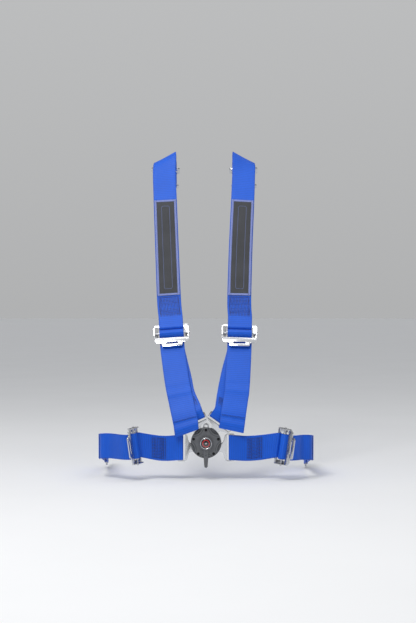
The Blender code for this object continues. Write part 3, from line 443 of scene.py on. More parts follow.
def shoulder(side):
    """side -1: viewer's left belt, +1: viewer's right belt."""
    s = side
    nm = "shoulder_%s" % ("left" if s < 0 else "right")
    rho = math.radians(4.0 if s < 0 else -1.5)
    rec = math.radians(RECLINE)
    ox = -0.0722 if s < 0 else 0.0697
    U = Vector((math.sin(rho), -math.sin(rec) * math.cos(rho), -math.cos(rec) * math.cos(rho)))
    V = -Vector((math.cos(rho), 0.0, math.sin(rho)))
    fr = Frame((ox, 0.0837, 0.2320), U, V)
    hw = fr.V * (WEB_W / 2)

    # upper strap: from the adjuster's crossbar up, over the slanted bend, back to the anchor
    if s < 0:
        mids = [(-0.0772, 0.1067, 0.2860, 3.6), (-0.0828, 0.1518, 0.3920, 3.2), (-0.0882, 0.1981, 0.5010, 3.2),
                (-0.0910, 0.2250, 0.5600, 6.0)]
        bend_x, tail_x = -0.0905, -0.0950
    else:
        mids = [(0.0692, 0.1067, 0.2860, -1.0), (0.0731, 0.1518, 0.3920, -2.8), (0.0788, 0.1981, 0.5010, -3.2),
                (0.0815, 0.2250, 0.5600, -6.0)]
        bend_x, tail_x = 0.0821, 0.0885
    ctrl = [(fr.p(0, 0.012, 0), hw), (fr.p(0, 0.0, 0), hw), (fr.p(0, -0.022, 0), hw)]
    for x, y, z, roll in mids:
        a = math.radians(roll)
        ctrl.append((Vector((x, y, z)), -Vector((math.cos(a), 0, math.sin(a))) * (WEB_W / 2)))
    for dx, y, z, roll, stretch, tip in ((0.0, 0.2370, 0.5865, 20.0, 1.07, 0.0), (0.0, 0.2445, 0.5955, 29.0, 1.13, 0.0),
                                         (0.0, 0.2560, 0.5990, 27.0, 1.10, 0.0), (0.0, 0.2800, 0.5960, 16.0, 1.03, 0.0)):
        a = math.radians(roll) * (1 if s < 0 else -1)
        ctrl.append((Vector((bend_x + dx, y, z)), -Vector((math.cos(a), 0, math.sin(a))) * (WEB_W / 2) * stretch))
    flatv = -Vector((1, 0, 0)) * (WEB_W / 2)
    for k, (y, z) in enumerate(((0.3300, 0.5850), (0.3800, 0.5750), (0.4300, 0.5650), (0.4600, 0.5590))):
        x = bend_x + (tail_x - bend_x) * (k + 1) / 4
        ctrl.append((Vector((x, y, z)), flatv))
    # the route is measured so that the crossbar is at length 0
    up = Strip(ctrl, start=-0.012)
    seat = up.end
    up.square_from = seat - 0.190
    sgn = check_side(up)
    lay = 0.0009
    rr = TONGUE_T / 2 + GAP + WEB_T / 2 + 0.0005
    # sewn end behind, round the crossbar, then up the front
    path = [(0.070, -lay), (0.052, -lay), (0.036, -lay), (0.022, -0.0012), (0.012, -0.0024)]
    path += arc(-0.0033, 0.0, LOOP_R, 290, 70, 12)
    path += [(0.012, 0.0024), (0.022, 0.0012), (0.036, lay), (0.052, lay), (0.070, lay)]
    n = 12
    l_bend = locate(up, 0.575)
    path += [(0.070 + (l_bend - 0.070) * k / n, lay) for k in range(1, n + 1)]
    mid = seat - 0.105
    n = 12
    path += [(l_bend + (mid - 0.026 - l_bend) * k / n, lay) for k in range(1, n + 1)]
    wave = slide_wave()
    upper = offset_line(wave, lay)
    lower = offset_line(wave, -lay)
    path += [(mid + b, c) for b, c in upper]
    path += [(seat - 0.060, 0.0015), (seat - 0.030, rr), (seat - 0.012, rr)]
    path += arc(seat + 0.0028, 0.0, rr, 90, -90, 6)
    path += [(seat - 0.012, -rr), (seat - 0.030, -rr), (seat - 0.060, -0.0015)]
    path += [(mid + b, c) for b, c in reversed(lower)]
    path += [(mid - 0.026 - 0.012, -lay), (mid - 0.026 - 0.030, -lay)]
    put(nm + "_upper_strap", track(up, [(l, c * sgn) for l, c in path]))
    ROUTE[nm + "_upper"] = (up, sgn, lay)

    # label panel sewn on the front of the strap
    l0, l1 = locate(up, 0.2947), locate(up, 0.5011)
    pn = 16
    pp = [(l0 + (l1 - l0) * k / pn, (lay + WEB_T / 2 + 0.0005 + 0.0004) * sgn) for k in range(pn + 1)]
    put(nm + "_label", track(up, pp, 0.0234 / 0.025))
    ROUTE[nm + "_label"] = (up, sgn, lay, l0, l1)

    # bolt-in anchor at the rear end
    p, h, nrm, t = up.at(seat)
    build_anchor(nm + "_anchor", p, t, h)
    build_slide(nm + "_slide", up, mid, sgn)

    # lower strap: load run to the tongue
    if s < 0:
        run = [(-0.0542, 0.0340, 0.1263, 11.0), (-0.0474, 0.0183, 0.0955, 15.0)]
        tail = [(-0.0584, 0.0240, 0.1198, 9.0), (-0.0496, 0.0030, 0.0804, 12.0), (-0.0448, -0.0090, 0.0600, 14.0),
                (-0.0402, -0.0168, 0.0399, 16.0), (-0.0380, -0.0198, 0.0208, 20.0)]
    else:
        run = [(0.0564, 0.0395, 0.1378, -10.0), (0.0475, 0.0187, 0.0962, -15.0)]
        tail = [(0.0633, 0.0195, 0.1111, -3.0), (0.0590, 0.0036, 0.0820, -5.0), (0.0552, -0.0102, 0.0600, -7.5),
                (0.0526, -0.0162, 0.0420, -10.0), (0.0504, -0.0190, 0.0266, -12.0)]
    tor, tdir = tongue_seat(s)
    barp = tor + tdir * BAR_T + Vector((0, TONGUE_Y, 0))
    cross = Vector((-tdir.z, 0, tdir.x)) * (WEB_W / 2)
    if cross.dot(fr.V) < 0:
        cross = -cross
    base = [(fr.p(0, 0.012, 0), hw), (fr.p(0, 0.030, 0), hw), (fr.p(0, LEAD, 0), hw)]
    ctrl = list(base)
    for x, y, z, roll in run:
        a = math.radians(roll)
        ctrl.append((Vector((x, y, z)), -Vector((math.cos(a), 0, math.sin(a))) * (WEB_W / 2)))
    app = barp + tdir * 0.0195 + Vector((-0.0008 * s, 0.0060, 0.0020))
    mixd = (cross * 0.55 + ctrl[-1][1] * 0.45).normalized() * (WEB_W / 2)
    ctrl.append((app, mixd))
    ctrl.append((barp + tdir * 0.0085, cross))
    ctrl.append((barp, cross))
    ctrl.append((barp - tdir * 0.010, cross))
    rn = Strip(ctrl, start=0.012)
    sg = check_side(rn)
    lb = nearest(rn, barp)
    back_c = BAR_C - WRAP_R
    r2 = TONGUE_T / 2 + GAP + WEB_T / 2 + 0.0003
    path = [(LEAD + GAP, back_c)]
    n = 12
    l0 = LEAD + GAP
    for k in range(1, n + 1):
        u = k / n
        c = back_c + (r2 - back_c) * u ** 2
        path.append((l0 + (lb - 0.010 - l0) * u, c))
    path += [(lb - 0.002, r2)]
    path += arc(lb + BAR_HALF - 0.0012, 0.0, r2, 90, -90, 6)
    path += [(lb - 0.002, -r2), (lb - 0.014, -r2), (lb - 0.034, -r2 * 0.75), (lb - 0.054, -r2 * 0.75 + back_c * 0.3)]
    put(nm + "_run", track(rn, [(l, c * sg) for l, c in path]))
    ROUTE[nm + "_run"] = (rn, sg, lb, r2)
    build_tongue(nm + "_tongue", tor, tdir)

    # free tail in front
    ctrl = list(base)
    for k, (x, y, z, roll) in enumerate(tail):
        a = math.radians(roll)
        ctrl.append((Vector((x, y, z)), -Vector((math.cos(a), 0, math.sin(a))) * (WEB_W / 2)))
    tl = Strip(ctrl, start=0.012)
    sg2 = check_side(tl)
    front_c = back_c + 0.0018
    n = 80
    l0 = LEAD + 0.0005
    path = [(l0 + (tl.end - l0) * k / n, front_c) for k in range(n + 1)]
    path += hem(tl.end, front_c)
    put(nm + "_tail", track(tl, [(l, (c + crease(l, tl.end)) * sg2) for l, c in path]))
    ROUTE[nm + "_tail"] = (tl, sg2, tl.end, front_c)

    # webbing through the adjuster
    wp = wrap_points()
    pts = [(LEAD, back_c), (0.0400, back_c)] + wp + [(0.0400, front_c), (LEAD, front_c)]
    cs = [fr.p(0, b, c) for b, c in pts]
    put(nm + "_wrap", (cs, [hw] * len(cs)))
    return fr


def lap(side):
    s = side
    nm = "lap_%s" % ("left" if s < 0 else "right")
    tau = math.radians(60.0 if s < 0 else 42.0)
    roll = math.radians(8.0)
    cx = 0.1350 if s < 0 else 0.1430
    cz = -0.0040 if s < 0 else -0.0050
    strap_y = -0.0060
    out = Vector((s, 0, 0))
    fwd = Vector((0, -1, 0))
    O = Vector((s * cx, strap_y, cz))
    axis = Vector((s * math.sin(roll), 0, math.cos(roll)))      # crossbar direction, top outboard
    U0 = (out * math.cos(roll) - Vector((0, 0, 1)) * math.sin(roll))
    U = U0 * math.cos(tau) + fwd * math.sin(tau)
    V = axis if s > 0 else -axis
    fr = Frame(O, U, V)
    if fr.N.dot(fwd) < 0:
        fr = Frame(O, U, -V)
    hw_adj = fr.V * (WEB_W / 2)
    up = Vector((0, 0, 1)) * (WEB_W / 2)
    if up.dot(fr.V) < 0:
        up = -up

    # short doubled strap between the tongue's bar and the crossbar
    tor = Vector((s * LAP_HOLE_X, 0, LAP_Z))
    barp = tor + out * BAR_T + Vector((0, TONGUE_Y, 0))
    ctrl = [(barp - out * 0.010, up), (barp, up), (barp + out * 0.030 + Vector((0, 0.0030, -0.0020)), up),
            (Vector((s * (cx - 0.030), -0.0030, LAP_Z)), up * 0.9 + hw_adj * 0.1),
            (Vector((s * cx, strap_y, cz)), hw_adj),
            (Vector((s * (cx + 0.010), strap_y, cz)) - Vector((0, 0, 0.0010)), hw_adj)]
    st = Strip(ctrl, start=-0.010)
    sg = check_side(st)
    lc = nearest(st, O)
    r1 = TONGUE_T / 2 + GAP + WEB_T / 2 + 0.0006
    r2 = LOOP_R
    path = []
    mid = (lc) * 0.5
    path += [(mid - 0.0015, -0.00093), (mid * 0.55 + 0.004, -0.0011), (0.0120, -r1 * 0.9), (0.0020, -r1)]
    path += arc(-(BAR_HALF - 0.0012), 0.0, r1, -90, -270, 8)
    path += [(0.0020, r1), (0.0120, r1 * 0.9), (mid * 0.55 + 0.004, 0.0011), (mid, 0.00093), (mid * 1.45 - 0.004, 0.00093),
             (lc - 0.0160, 0.0016), (lc - 0.0070, r2 * 0.80)]
    path += arc(lc, 0.0, r2, 110, -110, 12)
    path += [(lc - 0.0070, -r2 * 0.80), (lc - 0.0160, -0.0016), (mid * 1.45 - 0.004, -0.00093), (mid + 0.0015, -0.00093)]
    put(nm + "_short_strap", track(st, [(l, c * sg) for l, c in path]))
    ROUTE[nm + "_short"] = (st, sg, lc, 0.00093)
    build_tongue(nm + "_tongue", tor, out)

    # outer strap: from the adjuster outboard, round the corner and back to the anchor
    back_c = BAR_C - WRAP_R
    front_c = back_c + 0.0018
    zo = -0.0070 if s < 0 else -0.0100
    x1 = 0.2130
    e0, e1 = fr.p(0, 0.012, 0), fr.p(0, 0.027, 0)
    dirx = (fr.U + out * 0.9).normalized()
    ctrl = [(e0, hw_adj), (e1, hw_adj), (e1 + dirx * 0.012, hw_adj * 0.95 + up * 0.05)]
    q = ctrl[-1][0]
    far = Vector((s * (x1 - 0.020), 0.0020, zo - 0.0002))
    ctrl.append((q.lerp(far, 0.45) + fwd * 0.0012, hw_adj * 0.5 + up * 0.5))
    ctrl.append((far, up))
    ctrl.append((Vector((s * (x1 - 0.0045), 0.0100, zo - 0.0010)), up))
    ctrl.append((Vector((s * x1, 0.0280, zo - 0.0035)), up))
    ctrl.append((Vector((s * (x1 + 0.001), 0.0700, zo - 0.0100)), up))
    ctrl.append((Vector((s * (x1 + 0.001), 0.1300, zo - 0.0200)), up))
    ctrl.append((Vector((s * (x1 + 0.001), 0.1750, zo - 0.0275)), up))
    ctrl.append((Vector((s * (x1 + 0.001), 0.1950, zo - 0.0308)), up))
    outer = Strip(ctrl, start=0.012)
    sg = check_side(outer)
    seat = outer.end
    outer.square_from = seat - 0.120
    lead = 0.0900 if s < 0 else 0.0760
    r3 = 0.0015 + GAP + WEB_T / 2 + 0.0005
    l0 = lead + GAP + 0.0002
    stations = [l0]
    while stations[-1] < seat - 0.016:
        stations.append(stations[-1] + (0.0060 if stations[-1] < lead + 0.060 else 0.0140))
    stations[-1] = seat - 0.012
    path = [(l, back_c + (r3 - back_c) * max(0.0, (l - seat + 0.060) / 0.048)) for l in stations]
    path += [(seat, r3)]
    path += arc(seat + 0.0028, 0.0, r3, 90, -90, 6)
    path += [(seat - 0.006, -r3), (seat - 0.020, -r3), (seat - 0.040, -r3 * 0.6 + back_c * 0.4)]
    put(nm + "_run", track(outer, [(l, c * sg) for l, c in path]))
    ROUTE[nm + "_run"] = (outer, sg, seat, r3)
    path = [(l, front_c + 0.0010 * min(1.0, (l - l0) / 0.008)) for l in stations if l < lead + 0.070]
    path += hem(path[-1][0], path[-1][1])
    put(nm + "_tail", track(outer, [(l, c * sg) for l, c in path]))
    ROUTE[nm + "_tail"] = (outer, sg, path[-27][0], path[0][1])
    # webbing through the adjuster, leads bent outboard behind the tab
    cs, hs = [], []
    for l in (lead, lead - 0.006, lead - 0.012, lead - 0.017):
        p, h = outer.point(l, back_c * sg)
        cs.append(p)
        hs.append(h)
    for b, c in wrap_points():
        cs.append(fr.p(0, b, c))
        hs.append(hw_adj)
    for l in (lead - 0.017, lead - 0.012, lead - 0.006, lead):
        p, h = outer.point(l, front_c * sg)
        cs.append(p)
        hs.append(h)
    put(nm + "_wrap", (cs, hs))
    p, h, nrm, t = outer.at(seat)
    build_anchor(nm + "_anchor", p, t, h)
    return fr


for _s in (-1, 1):
    ADJ["shoulder_%s" % ("left" if _s < 0 else "right")] = shoulder(_s)
    ADJ["lap_%s" % ("left" if _s < 0 else "right")] = lap(_s)


# -------------------------------------------------------------- shader helpers
class Nodes:
    """Short forms for building a material's node tree."""

    def __init__(self, name):
        self.m = bpy.data.materials.new(name)
        self.m.use_nodes = True
        self.t = self.m.node_tree
        self.b = self.t.nodes["Principled BSDF"]

    def n(self, kind, **kw):
        nd = self.t.nodes.new(kind)
        for k, v in kw.items():
            setattr(nd, k, v)
        return nd

    def put(self, nd, key, val):
        s = nd.inputs[key]
        if hasattr(val, "is_output"):
            self.t.links.new(val, s)
        else:
            s.default_value = val

    def math(self, op, a, b=0.0, c=0.0, clamp=False):
        nd = self.n("ShaderNodeMath", operation=op, use_clamp=clamp)
        self.put(nd, 0, a)
        self.put(nd, 1, b)
        self.put(nd, 2, c)
        return nd.outputs[0]

    def mix(self, fac, a, b):
        nd = self.n("ShaderNodeMix", data_type="RGBA")
        self.put(nd, 0, fac)
        self.put(nd, 6, a)
        self.put(nd, 7, b)
        return nd.outputs[2]

    def ramp(self, fac, a, b, lo=0.0, hi=1.0):
        nd = self.n("ShaderNodeMapRange")
        self.put(nd, 0, fac)
        self.put(nd, 1, a)
        self.put(nd, 2, b)
        self.put(nd, 3, lo)
        self.put(nd, 4, hi)
        return nd.outputs[0]

    def noise(self, vec, scale, detail=3.0, rough=0.5):
        nd = self.n("ShaderNodeTexNoise")
        self.put(nd, "Vector", vec)
        self.put(nd, "Scale", scale)
        self.put(nd, "Detail", detail)
        self.put(nd, "Roughness", rough)
        return nd.outputs[0]

    def bump(self, height, strength, dist, normal=None):
        nd = self.n("ShaderNodeBump")
        self.put(nd, "Strength", strength)
        self.put(nd, "Distance", dist)
        self.put(nd, "Height", height)
        if normal is not None:
            self.put(nd, "Normal", normal)
        return nd.outputs[0]


def rgb(r, g, b):
    return (r, g, b, 1.0)


def webbing_material(name, deep, light, rib=0.0024):
    """Woven polyester: cross ribs, fine twill yarns, selvedges, slight fading."""
    k = Nodes(name)
    uv = k.n("ShaderNodeUVMap", uv_map="web")
    sep = k.n("ShaderNodeSeparateXYZ")
    k.put(sep, 0, uv.outputs[0])
    x, y = sep.outputs[0], sep.outputs[1]
    obj = k.n("ShaderNodeTexCoord").outputs["Object"]
    ax = k.math("ABSOLUTE", x)
    # cross ribs, gently wandering
    wob = k.noise(obj, 40.0, 2.0)
    yy = k.math("ADD", y, k.math("MULTIPLY", k.math("SUBTRACT", wob, 0.5), 0.0007))
    rb = k.math("SINE", k.math("MULTIPLY", yy, 2 * math.pi / rib))
    # warp yarns in a chevron: columns 1.25 mm wide, picks slanting both ways
    col = k.math("MULTIPLY", x, 1.0 / 0.00125)
    colf = k.math("FRACT", col)
    tri = k.math("ABSOLUTE", k.math("SUBTRACT", k.math("FRACT", k.math("MULTIPLY", col, 0.5)), 0.5))
    pick = k.math("SINE", k.math("MULTIPLY", k.math("ADD", yy, k.math("MULTIPLY", tri, 0.0017)), 2 * math.pi / 0.0012))
    yarn = k.math("SINE", k.math("MULTIPLY", colf, math.pi))
    # darker bands along both edges
    sel = k.ramp(ax, 0.0222, 0.0236)
    fib = k.noise(obj, 2600.0, 2.0)
    wide = k.math("SINE", k.math("MULTIPLY", yy, 2 * math.pi / 0.0043))
    h = k.math("ADD", k.math("MULTIPLY", rb, 0.30), k.math("MULTIPLY", pick, 0.22))
    h = k.math("ADD", h, k.math("MULTIPLY", wide, 0.27))
    h = k.math("ADD", h, k.math("MULTIPLY", yarn, 0.30))
    h = k.math("ADD", h, k.math("MULTIPLY", fib, 0.25))
    big = k.noise(obj, 9.0, 4.0)
    c = k.mix(k.ramp(big, 0.3, 0.7), rgb(*deep), rgb(*light))
    shade = k.math("MULTIPLY_ADD", h, 0.30, 0.84)
    shade = k.math("MULTIPLY", shade, k.math("MULTIPLY_ADD", sel, -0.12, 1.0))
    mul = k.n("ShaderNodeVectorMath", operation="SCALE")
    k.put(mul, 0, c)
    k.put(mul, "Scale", shade)
    k.put(k.b, "Base Color", mul.outputs[0])
    k.put(k.b, "Roughness", k.math("MULTIPLY_ADD", fib, 0.16, 0.40))
    k.put(k.b, "Normal", k.bump(h, 0.45, 0.00030))
    k.put(k.b, "Sheen Weight", 0.07)
    k.put(k.b, "Sheen Roughness", 0.35)
    k.put(k.b, "Sheen Tint", rgb(0.55, 0.62, 1.0))
    k.put(k.b, "Specular IOR Level", 0.46)
    k.put(k.b, "Specular Tint", rgb(0.75, 0.82, 1.0))
    return k.m


def panel_material():
    """Flat woven label: fine crossed yarns on charcoal."""
    k = Nodes("label_cloth")
    uv = k.n("ShaderNodeUVMap", uv_map="web")
    sep = k.n("ShaderNodeSeparateXYZ")
    k.put(sep, 0, uv.outputs[0])
    x, y = sep.outputs[0], sep.outputs[1]
    obj = k.n("ShaderNodeTexCoord").outputs["Object"]
    wx = k.math("SINE", k.math("MULTIPLY", x, 2 * math.pi / 0.0007))
    wy = k.math("SINE", k.math("MULTIPLY", y, 2 * math.pi / 0.0009))
    h = k.math("MULTIPLY", wx, wy)
    fib = k.noise(obj, 1800.0, 3.0)
    big = k.noise(obj, 22.0, 4.0)
    c = k.mix(k.ramp(big, 0.3, 0.75), rgb(0.024, 0.027, 0.034), rgb(0.040, 0.044, 0.055))
    shade = k.math("MULTIPLY_ADD", h, 0.16, k.math("MULTIPLY_ADD", fib, 0.3, 0.82))
    mul = k.n("ShaderNodeVectorMath", operation="SCALE")
    k.put(mul, 0, c)
    k.put(mul, "Scale", shade)
    k.put(k.b, "Base Color", mul.outputs[0])
    k.put(k.b, "Roughness", 0.62)
    k.put(k.b, "Sheen Weight", 0.25)
    k.put(k.b, "Sheen Roughness", 0.5)
    k.put(k.b, "Normal", k.bump(k.math("ADD", h, fib), 0.4, 0.0002))
    return k.m


def thread_material(name, col, gloss=0.45):
    """Twisted polyester thread."""
    k = Nodes(name)
    obj = k.n("ShaderNodeTexCoord").outputs["Object"]
    nd = k.n("ShaderNodeTexWave", wave_type="BANDS", bands_direction="DIAGONAL")
    k.put(nd, "Vector", obj)
    k.put(nd, "Scale", 900.0)
    k.put(nd, "Distortion", 2.0)
    fib = k.noise(obj, 1500.0, 2.0)
    big = k.noise(obj, 60.0, 2.0)
    c = k.mix(k.math("MULTIPLY_ADD", big, 0.5, k.math("MULTIPLY", nd.outputs[1], 0.4)), rgb(*[v * 0.72 for v in col]), rgb(*col))
    k.put(k.b, "Base Color", c)
    k.put(k.b, "Roughness", k.math("MULTIPLY_ADD", fib, 0.2, gloss))
    k.put(k.b, "Sheen Weight", 0.3)
    k.put(k.b, "Normal", k.bump(nd.outputs[1], 0.5, 0.00012))
    return k.m


def metal_material(name, col, rough, grain=0.0, wear=0.10, spots=0.0):
    """Plated or ground steel: fine drawn grain, rubbed patches, smudges."""
    k = Nodes(name)
    obj = k.n("ShaderNodeTexCoord").outputs["Object"]
    mp = k.n("ShaderNodeMapping")
    k.put(mp, "Vector", obj)
    k.put(mp, "Scale", (1.0, 1.0, 0.06) if grain else (1.0, 1.0, 1.0))
    fine = k.noise(mp.outputs[0], 1400.0, 3.0, 0.6)
    big = k.noise(obj, 55.0, 4.0, 0.6)
    mp2 = k.n("ShaderNodeMapping")
    k.put(mp2, "Vector", obj)
    k.put(mp2, "Rotation", (0.3, 0.5, 0.9))
    k.put(mp2, "Scale", (1.0, 0.04, 1.0))
    scratch = k.ramp(k.noise(mp2.outputs[0], 1900.0, 1.0, 0.4), 0.70, 0.78)
    rub = k.ramp(k.noise(obj, 320.0, 3.0, 0.6), 0.58, 0.75)
    c = k.mix(k.math("MULTIPLY", k.ramp(big, 0.35, 0.75), 0.6), rgb(*col), rgb(*[v * 0.80 for v in col]))
    c = k.mix(k.math("MULTIPLY", rub, wear), c, rgb(0.62, 0.63, 0.65))
    k.put(k.b, "Base Color", c)
    k.put(k.b, "Metallic", 1.0)
    r = k.math("ADD", rough, k.math("MULTIPLY", k.ramp(big, 0.3, 0.8), 0.12))
    r = k.math("ADD", r, k.math("MULTIPLY", scratch, 0.18))
    r = k.math("ADD", r, k.math("MULTIPLY", k.math("SUBTRACT", fine, 0.5), grain))
    k.put(k.b, "Roughness", r)
    h = k.math("ADD", k.math("MULTIPLY", fine, 0.15 + grain), k.math("MULTIPLY", scratch, -0.3))
    h = k.math("ADD", h, k.math("MULTIPLY", big, 0.9))
    k.put(k.b, "Normal", k.bump(h, 0.12, 0.0002))
    return k.m


def shell_material(name, col, rough=0.40, metallic=0.55, scallop_shade=False):
    """Satin gunmetal finish with a fine grain and lighter rubbed patches."""
    k = Nodes(name)
    obj = k.n("ShaderNodeTexCoord").outputs["Object"]
    fine = k.noise(obj, 2200.0, 3.0, 0.6)
    mid = k.noise(obj, 160.0, 4.0, 0.6)
    rub = k.ramp(k.noise(obj, 420.0, 3.0, 0.6), 0.60, 0.78)
    c = k.mix(k.ramp(mid, 0.3, 0.75), rgb(*col), rgb(*[v * 1.25 for v in col]))
    c = k.mix(k.math("MULTIPLY", rub, 0.30), c, rgb(0.17, 0.18, 0.19))
    if scallop_shade:
        # painted shade in the corner of each scallop, in a fine line beside it and over the scallop's floor
        sep = k.n("ShaderNodeSeparateXYZ")
        k.put(sep, 0, obj)
        near = None
        for i in range(5):
            a = math.radians(54 + 72 * i)
            dx = k.math("SUBTRACT", sep.outputs[0], 0.0400 * math.cos(a))
            dz = k.math("SUBTRACT", sep.outputs[2], 0.0400 * math.sin(a))
            d = k.math("SQRT", k.math("ADD", k.math("MULTIPLY", dx, dx), k.math("MULTIPLY", dz, dz)))
            near = d if near is None else k.math("MINIMUM", near, d)
        corner = k.ramp(k.math("ABSOLUTE", k.math("SUBTRACT", near, 0.0146)), 0.0004, 0.0011, 1.0, 0.0)
        line = k.ramp(k.math("ABSOLUTE", k.math("SUBTRACT", near, 0.0186)), 0.0003, 0.0008, 0.75, 0.0)
        floor = k.ramp(near, 0.0142, 0.0146, 0.35, 0.0)
        # painted shade: the corner, line and floor masks together darken the colour
        painted_shade = k.math("MAXIMUM", k.math("MAXIMUM", corner, line), floor)
        c = k.mix(k.math("MULTIPLY", painted_shade, 0.85), c, rgb(0.012, 0.013, 0.015))
    k.put(k.b, "Base Color", c)
    k.put(k.b, "Metallic", metallic)
    k.put(k.b, "Roughness", k.math("ADD", rough, k.math("MULTIPLY", k.math("SUBTRACT", mid, 0.5), 0.22)))
    k.put(k.b, "Coat Weight", 0.12)
    k.put(k.b, "Coat Roughness", 0.25)
    k.put(k.b, "Normal", k.bump(k.math("ADD", k.math("MULTIPLY", fine, 0.6), mid), 0.25, 0.00018))
    return k.m


def dome_material():
    """Dark resin dome over a plain ring mark."""
    k = Nodes("badge_resin")
    obj = k.n("ShaderNodeTexCoord").outputs["Object"]
    sep = k.n("ShaderNodeSeparateXYZ")
    k.put(sep, 0, obj)
    r2 = k.math("ADD", k.math("MULTIPLY", sep.outputs[0], sep.outputs[0]), k.math("MULTIPLY", sep.outputs[2], sep.outputs[2]))
    r = k.math("SQRT", r2)
    ring = k.math("MULTIPLY", k.ramp(r, 0.0055, 0.0057), k.ramp(r, 0.0075, 0.0077, 1.0, 0.0))
    core = k.ramp(r, 0.0014, 0.0017, 1.0, 0.0)
    dust = k.noise(obj, 900.0, 2.0)
    c = k.mix(ring, rgb(0.012, 0.012, 0.016), rgb(0.42, 0.016, 0.018))
    c = k.mix(core, c, rgb(0.5, 0.5, 0.52))
    k.put(k.b, "Base Color", c)
    k.put(k.b, "Roughness", k.math("MULTIPLY_ADD", k.ramp(dust, 0.6, 0.8), 0.12, 0.16))
    k.put(k.b, "Coat Weight", 1.0)
    k.put(k.b, "Coat Roughness", 0.03)
    k.put(k.b, "Specular IOR Level", 0.6)
    return k.m


MAT_WEB = webbing_material("webbing_blue", (0.0022, 0.094, 0.62), (0.0038, 0.116, 0.74))
MAT_PANEL = panel_material()
MAT_BORDER = thread_material("border_thread", (0.27, 0.34, 0.74))
MAT_OUTLINE = thread_material("outline_thread", (0.12, 0.16, 0.34))
MAT_THREAD = thread_material("blue_thread", (0.001, 0.024, 0.21))
MAT_CHROME = metal_material("chrome_plate", (0.66, 0.67, 0.69), 0.15)
MAT_ZINC = metal_material("bright_zinc", (0.70, 0.71, 0.74), 0.24, grain=0.08)
MAT_KNURL = metal_material("knurled_bar", (0.60, 0.61, 0.64), 0.28, grain=0.10)
MAT_SPRING = metal_material("spring_steel_bare", (0.42, 0.43, 0.46), 0.30, grain=0.12)
MAT_SHELL = shell_material("gunmetal_shell_satin", (0.128, 0.134, 0.144), scallop_shade=True)
MAT_LEVER = shell_material("gunmetal_lever_satin", (0.125, 0.130, 0.140), 0.30)
MAT_SCREW = shell_material("black_oxide", (0.020, 0.020, 0.022), 0.36, 0.8)
MAT_DOME = dome_material()
HARD = (MAT_SHELL, MAT_LEVER, MAT_SCREW)


# ---------------------------------------------------------------- placing things
def weighted(me, angle):
    """The mesh with its large flat faces kept flat in the smooth shading."""
    me.shade_smooth()
    me.set_sharp_from_angle(angle=math.radians(angle))
    ob = bpy.data.objects.new("tmp_weigh", me)
    SCENE.collection.objects.link(ob)
    md = ob.modifiers.new("weigh", "WEIGHTED_NORMAL")
    md.mode = "FACE_AREA"
    md.weight = 90
    md.keep_sharp = True
    bpy.context.view_layer.update()
    dg = bpy.context.evaluated_depsgraph_get()
    out = bpy.data.meshes.new_from_object(ob.evaluated_get(dg))
    bpy.data.objects.remove(ob, do_unlink=True)
    return out


def show(name, me, mat, body, replaced=(), smooth=40.0):
    if smooth and mat in HARD:
        me = weighted(me, smooth)
        smooth = None
    ob = bpy.data.objects.new(name, me)
    SCENE.collection.objects.link(ob)
    me.materials.clear()
    me.materials.append(mat)
    if smooth:
        me.shade_smooth()
        me.set_sharp_from_angle(angle=math.radians(smooth))
    if body:
        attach(ob, body)
    if replaced:
        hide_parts(*replaced)
    return ob


def rounded(me, width, segs=2, angle=32.0):
    """The mesh with its sharp edges rounded over."""
    ob = bpy.data.objects.new("tmp_round", me)
    SCENE.collection.objects.link(ob)
    md = ob.modifiers.new("round", "BEVEL")
    md.width = width
    md.segments = segs
    md.limit_method = "ANGLE"
    md.angle_limit = math.radians(angle)
    md.use_clamp_overlap = True
    md.miter_outer = "MITER_ARC"
    bpy.context.view_layer.update()
    dg = bpy.context.evaluated_depsgraph_get()
    out = bpy.data.meshes.new_from_object(ob.evaluated_get(dg))
    bpy.data.objects.remove(ob, do_unlink=True)
    return out


# ------------------------------------------------------------- webbing as meshes
def refine(cs, hs, step):
    """Smooth, evenly stepped centres and half widths through the given ones."""
    P = [cs[0]]
    H = [hs[0]]
    for c, h in zip(cs[1:], hs[1:]):
        if (c - P[-1]).length > 1e-5:
            P.append(c)
            H.append(h)
    n = len(P)
    d = [(P[i + 1] - P[i]).length for i in range(n - 1)]

    def slopes(V):
        m = []
        for i in range(n):
            if i == 0:
                m.append((V[1] - V[0]) / d[0])
            elif i == n - 1:
                m.append((V[-1] - V[-2]) / d[-1])
            else:
                a = (V[i] - V[i - 1]) / d[i - 1]
                b = (V[i + 1] - V[i]) / d[i]
                m.append((a * d[i] + b * d[i - 1]) / (d[i] + d[i - 1]))
        return m
    mp, mh = slopes(P), slopes(H)
    oc, oh = [], []
    for i in range(n - 1):
        k = max(1, int(math.ceil(d[i] / step)))
        for j in range(k):
            u = j / k
            a, b = 2 * u ** 3 - 3 * u ** 2 + 1, u ** 3 - 2 * u ** 2 + u
            c, e = -2 * u ** 3 + 3 * u ** 2, u ** 3 - u ** 2
            oc.append(P[i] * a + mp[i] * (b * d[i]) + P[i + 1] * c + mp[i + 1] * (e * d[i]))
            oh.append(H[i] * a + mh[i] * (b * d[i]) + H[i + 1] * c + mh[i + 1] * (e * d[i]))
    oc.append(P[-1])
    oh.append(H[-1])
    L = [0.0]
    for a, b in zip(oc, oc[1:]):
        L.append(L[-1] + (b - a).length)
    return oc, oh, L


PROFILE = [(-1.0, 0.30), (-0.992, 0.66), (-0.972, 0.92), (-0.93, 1.0), (-0.72, 0.97), (-0.40, 0.96), (0.0, 0.95),
           (0.40, 0.96), (0.72, 0.97), (0.93, 1.0), (0.972, 0.92), (0.992, 0.66), (1.0, 0.30)]


